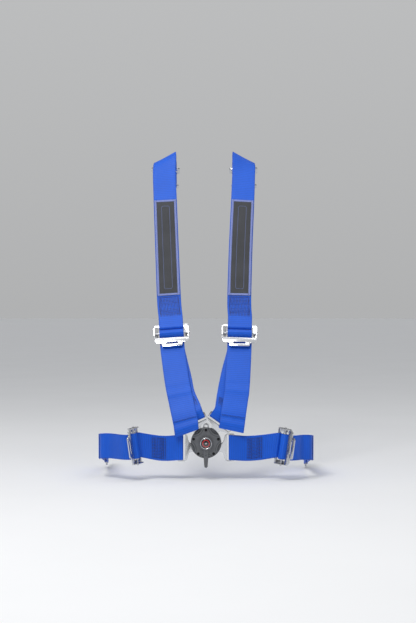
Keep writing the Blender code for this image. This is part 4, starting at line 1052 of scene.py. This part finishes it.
def web_mesh(name, cs, hs, thick=WEB_T, step=0.0024, wave=None, half=0.025, profile=PROFILE):
    """Closed woven strip with rounded selvedges and a length-wise texture map."""
    cs, hs, L = refine(cs, hs, step)
    n = len(cs)
    k = len(profile)
    verts, uvs = [], []
    for i in range(n):
        a = cs[max(0, i - 1)]
        b = cs[min(n - 1, i + 1)]
        t = (b - a).normalized()
        nn = t.cross(hs[i]).normalized()
        end = min(1.0, (min(L[i], L[-1] - L[i]) + 0.0003) / 0.0009)
        for side in (-1, 1):
            seq = profile if side < 0 else list(reversed(profile))
            for u, w in seq:
                off = 0.0
                if wave is not None:
                    off = wave(L[i], u)
                verts.append(cs[i] + hs[i] * u + nn * (side * thick / 2 * w * (0.45 + 0.55 * end) + off))
                uvs.append((u * half, L[i]))
    m = 2 * k
    faces = []
    for i in range(n - 1):
        o, q = m * i, m * (i + 1)
        for j in range(m):
            j2 = (j + 1) % m
            faces.append((o + j, o + j2, q + j2, q + j))
    faces.append(tuple(range(m)))
    faces.append(tuple(reversed(range(m * (n - 1), m * n))))
    me = bpy.data.meshes.new(name)
    me.from_pydata([tuple(v) for v in verts], [], faces)
    lay = me.uv_layers.new(name="web")
    for lp_ in me.loops:
        lay.data[lp_.index].uv = uvs[lp_.vertex_index]
    bm = bmesh.new()
    bm.from_mesh(me)
    bmesh.ops.recalc_face_normals(bm, faces=bm.faces)
    bm.to_mesh(me)
    bm.free()
    return me, L[-1]


def gentle(seed, amp=0.00022):
    """A very slight ripple and cupping along a strap."""
    rnd = random.Random(seed)
    ph = [rnd.uniform(0, 6.28) for _ in range(4)]

    def f(l, u):
        return amp * (math.sin(l * 61 + ph[0]) * u * 0.7 + math.sin(l * 103 + ph[1]) * (u * u - 0.35) * 0.9
                      + math.sin(l * 173 + ph[2]) * 0.25)
    return f


# ----------------------------------------------------------------------- stitches
def surface(strip, sgn, c, extra=None):
    """Position, outward normal, length and across directions on a strap's front."""
    def f(l, u):
        p, h, n, t = strip.at(l)
        nn = n * sgn
        return p + h * u + nn * (c + (extra(l) if extra else 0.0)), nn, t, h.normalized()
    return f


def sew(segs, fn, pitch=0.0031, length=0.0026, rad=0.00046, flat=0.9):
    """Rows of stitches along segments given in (length, across) coordinates."""
    verts, faces = [], []
    rings = [(-1.0, 0.0), (-0.86, 0.62), (-0.45, 1.0), (0.45, 1.0), (0.86, 0.62), (1.0, 0.0)]
    sides = 6
    for (l0, u0), (l1, u1) in segs:
        p0, p1 = fn(l0, u0)[0], fn(l1, u1)[0]
        D = (p1 - p0).length
        cnt = max(1, int(D / pitch))
        for i in range(cnt):
            q = (i + 0.5) / cnt
            l, u = l0 + (l1 - l0) * q, u0 + (u1 - u0) * q
            p, nn, t, h = fn(l, u)
            e = 0.01
            pa = fn(l0 + (l1 - l0) * (q - e), u0 + (u1 - u0) * (q - e))[0]
            pb = fn(l0 + (l1 - l0) * (q + e), u0 + (u1 - u0) * (q + e))[0]
            d = (pb - pa).normalized()
            s = nn.cross(d).normalized()
            base = len(verts)
            for x, w in rings:
                c = p + d * (x * length / 2) + nn * (rad * flat * (w * 0.45 - 0.25))
                for j in range(sides):
                    a = 2 * math.pi * j / sides
                    ww = max(w, 0.12)
                    verts.append(c + s * (rad * ww * math.cos(a)) + nn * (rad * ww * flat * math.sin(a)))
            for r in range(len(rings) - 1):
                for j in range(sides):
                    j2 = (j + 1) % sides
                    faces.append((base + r * sides + j, base + r * sides + j2, base + (r + 1) * sides + j2, base + (r + 1) * sides + j))
            faces.append(tuple(base + j for j in reversed(range(sides))))
            faces.append(tuple(base + (len(rings) - 1) * sides + j for j in range(sides)))
    return solid_mesh(verts, faces)


def box_w(l0, l1, w=0.80, rows=1):
    """A box of stitches with a W across it."""
    segs = []
    for i in range(rows):
        g = 0.0016 * i
        gu = 0.07 * i
        segs += [((l0 + g, -w + gu), (l0 + g, w - gu)), ((l1 - g, -w + gu), (l1 - g, w - gu)),
                 ((l0 + g, -w + gu), (l1 - g, -w + gu)), ((l0 + g, w - gu), (l1 - g, w - gu))]
    legs = 14
    zig = [(-w + 2 * w * i / legs, l0 if i % 2 == 0 else l1) for i in range(legs + 1)]
    for (ua, la), (ub, lb_) in zip(zig, zig[1:]):
        segs.append(((la, ua), (lb_, ub)))
        segs.append(((lb_, ua + 0.012), (la, ub + 0.012)))
    return segs


# --------------------------------------------------------------------- the straps
BODY = {"shoulder_left": "shoulder_left_belt", "shoulder_right": "shoulder_right_belt",
        "lap_left": "lap_left_belt", "lap_right": "buckle"}
for i, nm in enumerate(("shoulder_left", "shoulder_right")):
    cs, hs = TRACK[nm + "_upper_strap"]
    me, length = web_mesh(nm + "_upper_webbing", cs, hs, step=0.0026, wave=gentle(3 + i, 0.00006))
    ob = show(nm + "_upper_webbing", me, MAT_WEB, BODY[nm], (nm + "_upper_strap",))
    cs, hs = TRACK[nm + "_label"]
    flat_profile = [(-1.0, 0.6), (-0.985, 1.0), (-0.5, 1.0), (0.0, 1.0), (0.5, 1.0), (0.985, 1.0), (1.0, 0.6)]
    me, length = web_mesh(nm + "_label_panel", cs, hs, thick=0.0008, step=0.003, half=0.0234, profile=flat_profile)
    ob = show(nm + "_label_panel", me, MAT_PANEL, BODY[nm], (nm + "_label",))
    # whip-stitched border
    up, sgn, lay, l0, l1 = ROUTE[nm + "_label"]
    fn = surface(up, sgn, lay + WEB_T / 2 + 0.0005 + 0.0009)
    segs = []
    wo, wi = 0.936, 0.936 - 0.0047 / 0.025
    pitch = 0.00118
    cnt = int((l1 - l0) / pitch)
    for j in range(cnt):
        l = l0 + (j + 0.5) * (l1 - l0) / cnt
        for s in (-1, 1):
            segs.append(((l - 0.0003, s * wi), (l + 0.0003, s * (wo + 0.004))))
    cntu = int(2 * wi * 0.025 / pitch)
    for j in range(cntu):
        u = -wi + (j + 0.5) * 2 * wi / cntu
        for la, lb_ in ((l0 - 0.0002, l0 + 0.0047), (l1 + 0.0002, l1 - 0.0047)):
            segs.append(((la, u - 0.01), (lb_, u + 0.01)))
    me = sew(segs, fn, pitch=0.1, length=0.0050, rad=0.00062, flat=0.75)
    bar = []
    a, b, w = l0 + 0.0150, l1 - 0.0150, 0.34
    ends = [(a, -w + 0.08), (a, w - 0.08), (a + 0.003, w), (b - 0.003, w), (b, w - 0.08), (b, -w + 0.08), (b - 0.003, -w), (a + 0.003, -w)]
    for p_, q_ in zip(ends, ends[1:] + ends[:1]):
        bar.append((p_, q_))
    mb = sew(bar, surface(up, sgn, lay + WEB_T / 2 + 0.0005 + 0.0008), pitch=0.0016, length=0.0021, rad=0.00050, flat=0.7)
    show(nm + "_label_outline", mb, MAT_OUTLINE, BODY[nm])
    show(nm + "_label_border", me, MAT_BORDER, BODY[nm])
    # box and W stitching at the adjuster loop
    up, sgn, lay = ROUTE[nm + "_upper"]
    fn = surface(up, sgn, lay + WEB_T / 2)
    la, lb2 = locate(up, 0.2490), locate(up, 0.2920)
    la, lb2 = min(la, lb2), max(la, lb2)
    segs = box_w(la, lb2, 0.84, rows=2) + [((la - 0.004, -0.84), (la - 0.004, 0.84))]
    me = sew(segs, fn)
    show(nm + "_box_stitching", me, MAT_THREAD, BODY[nm])

for i, nm in enumerate(("shoulder_left", "shoulder_right", "lap_left", "lap_right")):
    run, wrap, tail = TRACK[nm + "_run"], TRACK[nm + "_wrap"], TRACK[nm + "_tail"]
    cs = list(reversed(run[0])) + wrap[0][1:-1] + tail[0]
    hs = list(reversed(run[1])) + wrap[1][1:-1] + tail[1]
    me, length = web_mesh(nm + "_lower_webbing", cs, hs, step=0.0024, wave=gentle(11 + i, 0.00005))
    ob = show(nm + "_lower_webbing", me, MAT_WEB, None, (nm + "_run", nm + "_wrap", nm + "_tail"))
    f = ADJ[nm]
    lead = LEAD if nm.startswith("shoulder") else (0.0900 if nm == "lap_left" else 0.0760)
    tuple(f.p(0, 0.0300, 0))
    tuple(wrap[0][0])
    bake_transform(ob)
    strip, sg, lend, c = ROUTE[nm + "_tail"]
    fn = surface(strip, sg, c + 0.00184 + WEB_T / 2, (lambda l, e=lend: crease(l, e)) if nm.startswith("shoulder") else None)
    segs = [((lend - 0.0272, -0.92), (lend - 0.0272, 0.92)), ((lend - 0.0254, -0.92), (lend - 0.0254, 0.92))]
    me = sew(segs, fn)
    show(nm + "_hem_stitching", me, MAT_THREAD, BODY[nm])
for nm in ("shoulder_left", "shoulder_right"):
    rn, sg, lb_, r2 = ROUTE[nm + "_run"]
    fn = surface(rn, sg, r2 * 0.80 + WEB_T / 2)
    me = sew(box_w(lb_ - 0.046, lb_ - 0.020, 0.80), surface(rn, sg, 0.0024 + WEB_T / 2 - 0.0006))
    show(nm + "_run_stitching", me, MAT_THREAD, BODY[nm])
for nm in ("lap_left", "lap_right"):
    cs, hs = TRACK[nm + "_short_strap"]
    me, length = web_mesh(nm + "_short_webbing", cs, hs, step=0.0022)
    ob = show(nm + "_short_webbing", me, MAT_WEB, BODY[nm], (nm + "_short_strap",))
    st, sg, lc, c = ROUTE[nm + "_short"]
    a, b = (0.0275, 0.0560) if nm == "lap_left" else (0.0300, 0.0600)
    me = sew(box_w(a, b, 0.82), surface(st, sg, c + WEB_T / 2))
    show(nm + "_short_stitching", me, MAT_THREAD, BODY[nm])


# --------------------------------------------------------------------- metal parts
def fine_tongue(origin, u):
    side = Vector((0, 1, 0)).cross(u)

    def place(t, w, h):
        return origin + u * t + side * w + Vector((0, h, 0))
    b0 = BAR_T - BAR_HALF
    out = tongue_outline()
    pts = round_poly(out, 0.0016, 3)
    slot = round_poly([(b0 - 0.0060, -0.0257), (b0, -0.0257), (b0, 0.0257), (b0 - 0.0060, 0.0257)], 0.0012, 3)
    me = prism(pts, [circle(0.0034, 32), slot], TONGUE_Y - TONGUE_T / 2, TONGUE_Y + TONGUE_T / 2, place)
    return rounded(me, 0.0006, 3)


def fine_anchor(f):
    def place(t, w, h):
        return f.p(w, t, h)
    half = [(-0.0040, 0.0270), (-0.0010, 0.0300), (0.0100, 0.0300), (0.0180, 0.0270), (0.0270, 0.0180), (0.0300, 0.0152)]
    tip = [(0.0340 + 0.0152 * math.sin(math.radians(a)), 0.0152 * math.cos(math.radians(a))) for a in range(12, 90, 8)]
    outline = half + tip
    outline = round_poly(outline + [(t, -w) for t, w in reversed(outline)], 0.0010, 2)
    slot = round_poly([(0.0042, -0.0260), (0.0102, -0.0260), (0.0102, 0.0260), (0.0042, 0.0260)], 0.0018, 4)
    me = prism(outline, [slot, circle(0.0058, 48, 0.0340, 0.0)], -0.0015, 0.0015, place)
    return rounded(me, 0.0005, 3)


def fine_slide(at, sgn):
    p, h, n, t = at

    def place(w, b, c):
        return p + h.normalized() * w + t * b + n * (sgn * c)
    o, i, m = SLIDE_OUT, SLIDE_IN, SLIDE_MID
    outer = round_poly([(-0.032, -o), (0.032, -o), (0.032, o), (-0.032, o)], 0.005, 6)
    w1 = round_poly([(-0.0270, -i), (0.0270, -i), (0.0270, -m), (-0.0270, -m)], 0.0015, 4)
    w2 = round_poly([(-0.0270, m), (0.0270, m), (0.0270, i), (-0.0270, i)], 0.0015, 4)
    me = prism(outer, [w1, w2], SLIDE_C - SLIDE_T / 2, SLIDE_C + SLIDE_T / 2, place)
    return rounded(me, 0.0005, 3)


for kind, name, a, b in PLATES:
    bn = BODY[name.rsplit("_", 1)[0]]
    if kind == "tongue":
        show(name + "_plate", fine_tongue(a, b), MAT_CHROME, bn, (name,))
    elif kind == "anchor":
        show(name + "_plate", fine_anchor(a), MAT_ZINC, bn, (name,))
    else:
        show(name + "_plate", fine_slide(a, b), MAT_ZINC, bn, (name,))


def fine_adjuster():
    """Stamped frame in its own coordinates: base strip, folded cheeks, lifting tab."""
    def flat(a, b, c):
        return Vector((a, b, c))
    A = ADJ_HALF
    base = round_poly([(-A, -0.0026), (A, -0.0026), (A, 0.0290), (0.0283, 0.0290), (0.0283, 0.0026),
                       (-0.0283, 0.0026), (-0.0283, 0.0290), (-A, 0.0290)],
                      [0.004, 0.004, 0, 0, 0.0022, 0.0022, 0, 0], 6)
    me = prism(base, [], -0.0011, 0.0011, flat)
    parts = []
    for s in (1, -1):
        def side(b, c, a, s=s):
            return Vector((s * a, b, c))
        wall = round_poly([(0.0010, -0.0009), (0.0300, -0.0009), (0.0300, 0.0065), (0.0240, 0.0105), (0.0060, 0.0105), (0.0010, 0.0060)],
                          [0, 0, 0.002, 0.003, 0.004, 0.003], 5)
        hole = round_poly([(BAR_B - 0.0042, BAR_C - 0.0025), (BAR_B + 0.0025, BAR_C - 0.0025),
                           (BAR_B + 0.0025, BAR_C + 0.0025), (BAR_B - 0.0042, BAR_C + 0.0025)], 0.0022, 5)
        parts.append(prism(wall, [hole], A - 0.0024, A - 0.0002, side))
    ct, st = math.cos(math.radians(TAB_TILT)), math.sin(math.radians(TAB_TILT))

    def tab(a, t, h):
        return Vector((a, TAB_ROOT + t * ct - h * st, 0.0034 + t * st + h * ct))
    plate = round_poly([(-A + 0.001, 0.0), (A - 0.001, 0.0), (A - 0.001, 0.0060), (A - 0.0055, 0.0125), (0.0215, 0.0125), (0.0208, TAB_LEN),
                        (-0.0208, TAB_LEN), (-0.0215, 0.0125), (-A + 0.0055, 0.0125), (-A + 0.001, 0.0060)],
                       [0, 0, 0.002, 0.004, 0.0025, 0.004, 0.004, 0.0025, 0.004, 0.002], 6)
    slot = round_poly([(-0.0130, 0.0108), (0.0130, 0.0108), (0.0130, 0.0152), (-0.0130, 0.0152)], 0.0021, 6)
    parts.append(prism(plate, [slot], -0.0011, 0.0011, tab))
    return rounded(boolean(me, parts, "UNION"), 0.00045, 2, 35)


def fine_bar():
    """Locking bar with knurled length and plain ends."""
    seg, rings = 56, []
    rings += [(0.0006, -0.0385), (0.0016, -0.0385), (0.0020, -0.0382), (0.0020, -0.0277)]
    rings += [(BAR_R - 0.0004, -0.0273), (BAR_R - 0.0001, -0.0270)]
    k = 60
    rings += [(BAR_R, -0.0268 + 0.0536 * i / k) for i in range(k + 1)]
    rings += [(BAR_R - 0.0001, 0.0270), (BAR_R - 0.0004, 0.0273)]
    rings += [(0.0020, 0.0277), (0.0020, 0.0382), (0.0016, 0.0385), (0.0006, 0.0385)]
    verts, faces = [], []
    for r, x in rings:
        for j in range(seg):
            a = 2 * math.pi * j / seg
            rr = r
            if abs(x) <= 0.0268 and r == BAR_R:
                p, q = (j * 14.0 / seg + x / 0.0018) % 1.0, (j * 14.0 / seg - x / 0.0018) % 1.0
                rr = r - 0.00022 * (max(0.0, 1 - abs(p - 0.5) * 5) + max(0.0, 1 - abs(q - 0.5) * 5)) / 1.6
            verts.append(Vector((x, BAR_B + rr * math.cos(a), BAR_C + rr * math.sin(a))))
    for i in range(len(rings) - 1):
        for j in range(seg):
            j2 = (j + 1) % seg
            faces.append((i * seg + j, i * seg + j2, (i + 1) * seg + j2, (i + 1) * seg + j))
    faces.append(tuple(range(seg)))
    faces.append(tuple(reversed(range((len(rings) - 1) * seg, len(rings) * seg))))
    return solid_mesh(verts, faces)


ADJ_ME, BAR_ME = fine_adjuster(), fine_bar()
for nm, f in ADJ.items():
    me = ADJ_ME.copy()
    me.transform(f.matrix())
    show(nm + "_adjuster_stamping", me, MAT_CHROME, nm + "_adjuster", (nm + "_adjuster_frame",))
    me = BAR_ME.copy()
    me.transform(f.matrix())
    show(nm + "_locking_bar", me, MAT_KNURL, nm + "_bar", (nm + "_adjuster_bar",))


# -------------------------------------------------------------------------- camlock
def fine_housing():
    n = 120
    cup = lathe([(0.0, -0.0023), (BODY_R - 0.0008, -0.0023), (BODY_R, -0.0031), (BODY_R, STEP_FRONT + 0.0014),
                 (BODY_R - 0.0005, STEP_FRONT + 0.0004), (BODY_R - 0.0014, STEP_FRONT), (0.0, STEP_FRONT)], n, yplace)
    star = []
    m = 360
    for i in range(m):
        t = 2 * math.pi * i / m
        r = BODY_R - 0.0009
        for k in range(5):
            a = math.radians(54 + 72 * k)
            d, q = 0.0400, 0.0148
            dt = t - a
            s = d * math.sin(dt)
            if abs(s) < q and math.cos(dt) > 0:
                r = min(r, d * math.cos(dt) - math.sqrt(q * q - s * s))
        star.append((r * math.cos(t), r * math.sin(t)))
    # keep rounded tops by stacking a slightly smaller rim
    face = prism(star, [], -0.0142, BODY_FRONT, yplace)
    body = boolean(cup, [rounded(face, 0.0007, 3, 60)], "UNION")
    cavity = lathe([(0.0, 0.0010), (0.0272, 0.0010), (0.0272, -0.0135), (0.0, -0.0135)], 47, yplace)
    cuts = [cavity,
            lathe([(0.0, -0.0100), (0.0120, -0.0100), (0.0120, -0.0165), (0.0, -0.0165)], 40, yplace),
            lathe([(0.0, -0.0100), (0.0066, -0.0100), (0.0066, -0.0210), (0.0, -0.0210)], 40, yplace)]
    for a, half in ((SLOT_ANGLE, 0.0115), (180 - SLOT_ANGLE, 0.0115), (270, 0.0100)):
        t = math.radians(a)
        ux, uz = math.cos(t), math.sin(t)
        box = [(r * ux - w * uz, r * uz + w * ux)
               for r, w in ((0.0215, -half), (0.0400, -half), (0.0400, half), (0.0215, half))]
        cuts.append(prism(box, [], -0.0056, -0.0104, yplace))
    for sgn in (1, -1):
        box = [(sgn * 0.0185, LAP_Z - 0.0093), (sgn * 0.0400, LAP_Z - 0.0093),
               (sgn * 0.0400, LAP_Z + 0.0093), (sgn * 0.0185, LAP_Z + 0.0093)]
        cuts.append(prism(box, [], -0.0056, -0.0104, yplace))
    for k in range(5):
        t = math.radians(90 + 72 * k)
        cx, cz = SCREW_R * math.cos(t), SCREW_R * math.sin(t)
        cuts.append(prism(circle(0.0031, 28, cx, cz), [], -0.0168, -0.0210, yplace))
    return boolean(body, cuts, "DIFFERENCE")


def fine_screw(cx, cz):
    def pl(x, z, y):
        return Vector((cx + x, y, cz + z))
    me = lathe([(0.0, -0.0004), (0.0013, -0.0004), (0.0013, -0.0171), (0.0026, -0.0171), (0.0027, -0.0174),
                (0.0027, -0.0178), (0.0024, -0.0182), (0.0018, -0.0184), (0.0, -0.0184)], 32, pl)
    socket = prism(circle(0.00135, 6, cx, cz), [], -0.0174, -0.0190, yplace)
    return boolean(me, [socket], "DIFFERENCE")


def fine_lever():
    """Ring boss with a recess, and a tapering arm with a raised middle ridge."""
    ring = lathe([(0.0, -0.0193), (0.0134, -0.0193), (0.0138, -0.0197), (0.0140, -0.0203), (0.0140, -0.0234),
                  (0.0138, -0.0240), (0.0134, -0.0245), (0.0128, -0.0247), (0.0, -0.0247)], 96, yplace)
    rows = []
    zs = [-0.002, -0.008, -0.014, -0.020, -0.028, -0.036, -0.043, -0.0462, -0.0476, -0.0483, -0.0485]
    ws = [0.0066, 0.0062, 0.0058, 0.0053, 0.0047, 0.0041, 0.0036, 0.0033, 0.0027, 0.0018, 0.0008]
    verts, faces = [], []
    for i, (z, w) in enumerate(zip(zs, ws)):
        drop = 0.0012 * max(0.0, (i - 6) / 4.0) ** 1.6
        y0, y1 = -0.0195, -0.0226 + drop
        ridge = y1 - 0.0011 + drop * 0.3
        prof = [(-w, y0), (-w, y1 + 0.0006), (-w * 0.90, y1), (-w * 0.30, y1 - 0.0002), (-w * 0.10, ridge), (w * 0.10, ridge),
                (w * 0.30, y1 - 0.0002), (w * 0.90, y1), (w, y1 + 0.0006), (w, y0)]
        for x, y in prof:
            verts.append(Vector((x, y, z)))
        rows.append(len(prof))
    k = rows[0]
    for i in range(len(zs) - 1):
        for j in range(k):
            j2 = (j + 1) % k
            faces.append((i * k + j, i * k + j2, (i + 1) * k + j2, (i + 1) * k + j))
    faces.append(tuple(range(k)))
    faces.append(tuple(reversed(range((len(zs) - 1) * k, len(zs) * k))))
    arm = solid_mesh(verts, faces)
    hub = lathe([(0.0, -0.0029), (0.0060, -0.0029), (0.0060, -0.0200), (0.0, -0.0200)], 48, yplace)
    body = boolean(ring, [arm, hub], "UNION")
    bore = lathe([(0.0, 0.0010), (0.0032, 0.0010), (0.0032, -0.0215), (0.0, -0.0215)], 32, yplace)
    recess = lathe([(0.0, -0.0200), (0.0055, -0.0200), (0.0055, -0.0222), (0.0118, -0.0222), (0.0118, -0.0260), (0.0, -0.0260)],
                   80, yplace)
    return boolean(body, [bore, recess], "DIFFERENCE")


show("camlock_shell", fine_housing(), MAT_SHELL, "buckle", ("buckle_housing",), 30.0)
for k in range(5):
    t = math.radians(90 + 72 * k)
    show("shell_screw_%d" % (k + 1), fine_screw(SCREW_R * math.cos(t), SCREW_R * math.sin(t)), MAT_SCREW, "buckle",
         ("face_screw_%d" % (k + 1),), 30.0)
show("turn_lever", fine_lever(), MAT_LEVER, "lever", ("release_lever",), 32.0)
bez = lathe([(0.0097, -0.0226), (0.0115, -0.0226), (0.0116, -0.0249), (0.0115, -0.0254), (0.0112, -0.0258), (0.0107, -0.0260),
             (0.0102, -0.0258), (0.0099, -0.0254), (0.0097, -0.0248)], 96, yplace)
show("dome_bezel", bez, MAT_CHROME, "lever", ("bezel_ring",), 50.0)
prof = [(0.0, -0.0228), (0.0095, -0.0228), (0.0095, -0.0246)]
for i in range(1, 14):
    t = math.radians(90 * i / 14)
    prof.append((0.0095 * math.cos(t), -0.0246 - 0.0024 * math.sin(t)))
prof.append((0.0, -0.0270))
show("resin_dome", lathe(prof, 80, yplace), MAT_DOME, "lever", ("badge_dome",), 60.0)

# back plate with a finer rim and lug
outline = []
lug_c, lug_r = 0.0312, 0.0062
a_cut = math.asin((lug_r * 0.86) / (BODY_R - 0.0010))
for i in range(121):
    t = math.pi / 2 + a_cut + (2 * math.pi - 2 * a_cut) * i / 120
    outline.append(((BODY_R - 0.0010) * math.cos(t), (BODY_R - 0.0010) * math.sin(t)))
for i in range(1, 24):
    t = math.radians(-35 + 250 * i / 24)
    outline.append((lug_r * math.cos(t), lug_c + 0.001 + lug_r * math.sin(t)))
holes = [circle(0.0030, 40, 0.0, lug_c + 0.0012)]
for k in range(5):
    t = math.radians(90 + 72 * k)
    holes.append(circle(0.0017, 20, SCREW_R * math.cos(t), SCREW_R * math.sin(t)))
show("camlock_back_plate", rounded(prism(outline, holes, 0.0, -0.0020, yplace), 0.0004, 2), MAT_ZINC, "buckle",
     ("buckle_back_plate",))

# what the frame still shows is inside the buckle
for node, mat in (("spindle_post", MAT_ZINC), ("spindle_screw", MAT_SCREW), ("fixed_tongue_pin", MAT_ZINC),
                  ("latch_spider", MAT_SPRING), ("torsion_spring", MAT_SPRING), ("cam_disc", MAT_ZINC)):
    ob = NODES[node]
    ob.data.materials.clear()
    ob.data.materials.append(mat)


# ------------------------------------------------------------- floor, light, camera
def backdrop():
    """Plain pale studio floor, far wider than any view of the object."""
    k = Nodes("studio_paper")
    obj = k.n("ShaderNodeTexCoord").outputs["Object"]
    tone = k.noise(obj, 3.0, 3.0)
    k.put(k.b, "Base Color", k.mix(tone, rgb(0.83, 0.84, 0.86), rgb(0.87, 0.88, 0.90)))
    k.put(k.b, "Roughness", 0.85)
    k.put(k.b, "Specular IOR Level", 0.2)
    k.put(k.b, "Normal", k.bump(k.noise(obj, 500.0, 3.0), 0.05, 0.0005))
    verts, faces = [(0.0, 0.0, -0.0745)], []
    rings, n = (1.0, 3.0, 8.0, 20.0, 60.0), 64
    for r in rings:
        for i in range(n):
            a = 2 * math.pi * i / n
            verts.append((r * math.cos(a), r * math.sin(a), -0.0745))
    for i in range(n):
        faces.append((0, 1 + i, 1 + (i + 1) % n))
    for q in range(len(rings) - 1):
        a, b = 1 + q * n, 1 + (q + 1) * n
        for i in range(n):
            faces.append((a + i, b + i, b + (i + 1) % n, a + (i + 1) % n))
    me = bpy.data.meshes.new("backdrop")
    me.from_pydata(verts, [], faces)
    me.materials.append(k.m)
    me.shade_smooth()
    ob = bpy.data.objects.new("backdrop", me)
    SCENE.collection.objects.link(ob)


backdrop()


def area(name, loc, target, size, power, col=(1, 1, 1)):
    ld = bpy.data.lights.new(name, "AREA")
    ld.shape = "RECTANGLE"
    ld.size, ld.size_y = size
    ld.energy = power
    ld.color = col
    ob = bpy.data.objects.new(name, ld)
    SCENE.collection.objects.link(ob)
    ob.location = loc
    d = Vector(target) - Vector(loc)
    ob.rotation_euler = d.to_track_quat("-Z", "Y").to_euler()
    return ob


area("key", (-0.7, -1.5, 2.0), (0, 0.08, 0.25), (1.0, 0.7), 29, (1.0, 0.985, 0.96))
area("fill", (1.9, -1.7, 0.9), (0, 0.05, 0.2), (0.6, 1.4), 1.5, (0.94, 0.97, 1.0))
area("side", (-2.0, -1.0, 0.5), (0, 0.05, 0.2), (0.4, 1.4), 1.2, (0.96, 0.98, 1.0))
area("top", (0.1, -0.35, 2.5), (0, 0.15, 0.3), (1.6, 0.9), 9, (1, 1, 1))


def ramp(tree, stops):
    """A grey gradient node with the given (position, value) stops."""
    nd = tree.nodes.new("ShaderNodeValToRGB")
    els = nd.color_ramp.elements
    els[0].position, els[1].position = stops[0][0], stops[-1][0]
    els[0].color = (stops[0][1] * 0.98, stops[0][1] * 0.99, stops[0][1], 1)
    els[1].color = (stops[-1][1] * 0.98, stops[-1][1] * 0.99, stops[-1][1], 1)
    for pos, v in stops[1:-1]:
        els.new(pos).color = (v * 0.98, v * 0.99, v, 1)
    return nd


w = bpy.data.worlds.new("studio")
SCENE.world = w
w.use_nodes = True
wt = w.node_tree
tc = wt.nodes.new("ShaderNodeTexCoord")
sp = wt.nodes.new("ShaderNodeSeparateXYZ")
wt.links.new(tc.outputs["Generated"], sp.inputs[0])
# a soft dome: pale wall, a darker picture rail, bright ceiling
dome = ramp(wt, [(0.0, 0.485), (0.24, 0.56), (0.34, 0.04), (0.47, 0.05), (0.62, 0.60), (0.85, 0.86)])
wt.links.new(sp.outputs[2], dome.inputs[0])
# the wall facing the plates is darker, with soft upright panels
half = wt.nodes.new("ShaderNodeMath")
half.operation = "MULTIPLY_ADD"
half.inputs[1].default_value = 0.5
half.inputs[2].default_value = 0.5
wt.links.new(sp.outputs[0], half.inputs[0])
panels = ramp(wt, [(0.0, 0.26), (0.28, 0.05), (0.39, 0.52), (0.46, 0.13), (0.52, 0.16), (0.62, 0.50), (0.72, 0.05), (1.0, 0.26)])
wt.links.new(half.outputs[0], panels.inputs[0])
front = wt.nodes.new("ShaderNodeMapRange")
front.inputs["From Min"].default_value = 0.05
front.inputs["From Max"].default_value = -0.45
wt.links.new(sp.outputs[1], front.inputs["Value"])
low = wt.nodes.new("ShaderNodeMapRange")
low.inputs["From Min"].default_value = 0.34
low.inputs["From Max"].default_value = 0.20
wt.links.new(sp.outputs[2], low.inputs["Value"])
both = wt.nodes.new("ShaderNodeMath")
both.operation = "MULTIPLY"
wt.links.new(front.outputs[0], both.inputs[0])
wt.links.new(low.outputs[0], both.inputs[1])
mx = wt.nodes.new("ShaderNodeMix")
mx.data_type = "RGBA"
wt.links.new(both.outputs[0], mx.inputs[0])
wt.links.new(dome.outputs[0], mx.inputs[6])
wt.links.new(panels.outputs[0], mx.inputs[7])
wt.links.new(mx.outputs[2], wt.nodes["Background"].inputs[0])
wt.nodes["Background"].inputs[1].default_value = 0.92
SCENE.view_settings.view_transform = "Standard"

cd = bpy.data.cameras.new("view")
cd.sensor_width = 36.0
cd.sensor_fit = "AUTO"
cd.lens = 75.0
cam = bpy.data.objects.new("view", cd)
SCENE.collection.objects.link(cam)
cam.location = (0.004, -2.6, 0.262)
cam.rotation_euler = (math.radians(90), 0, 0)
SCENE.camera = cam
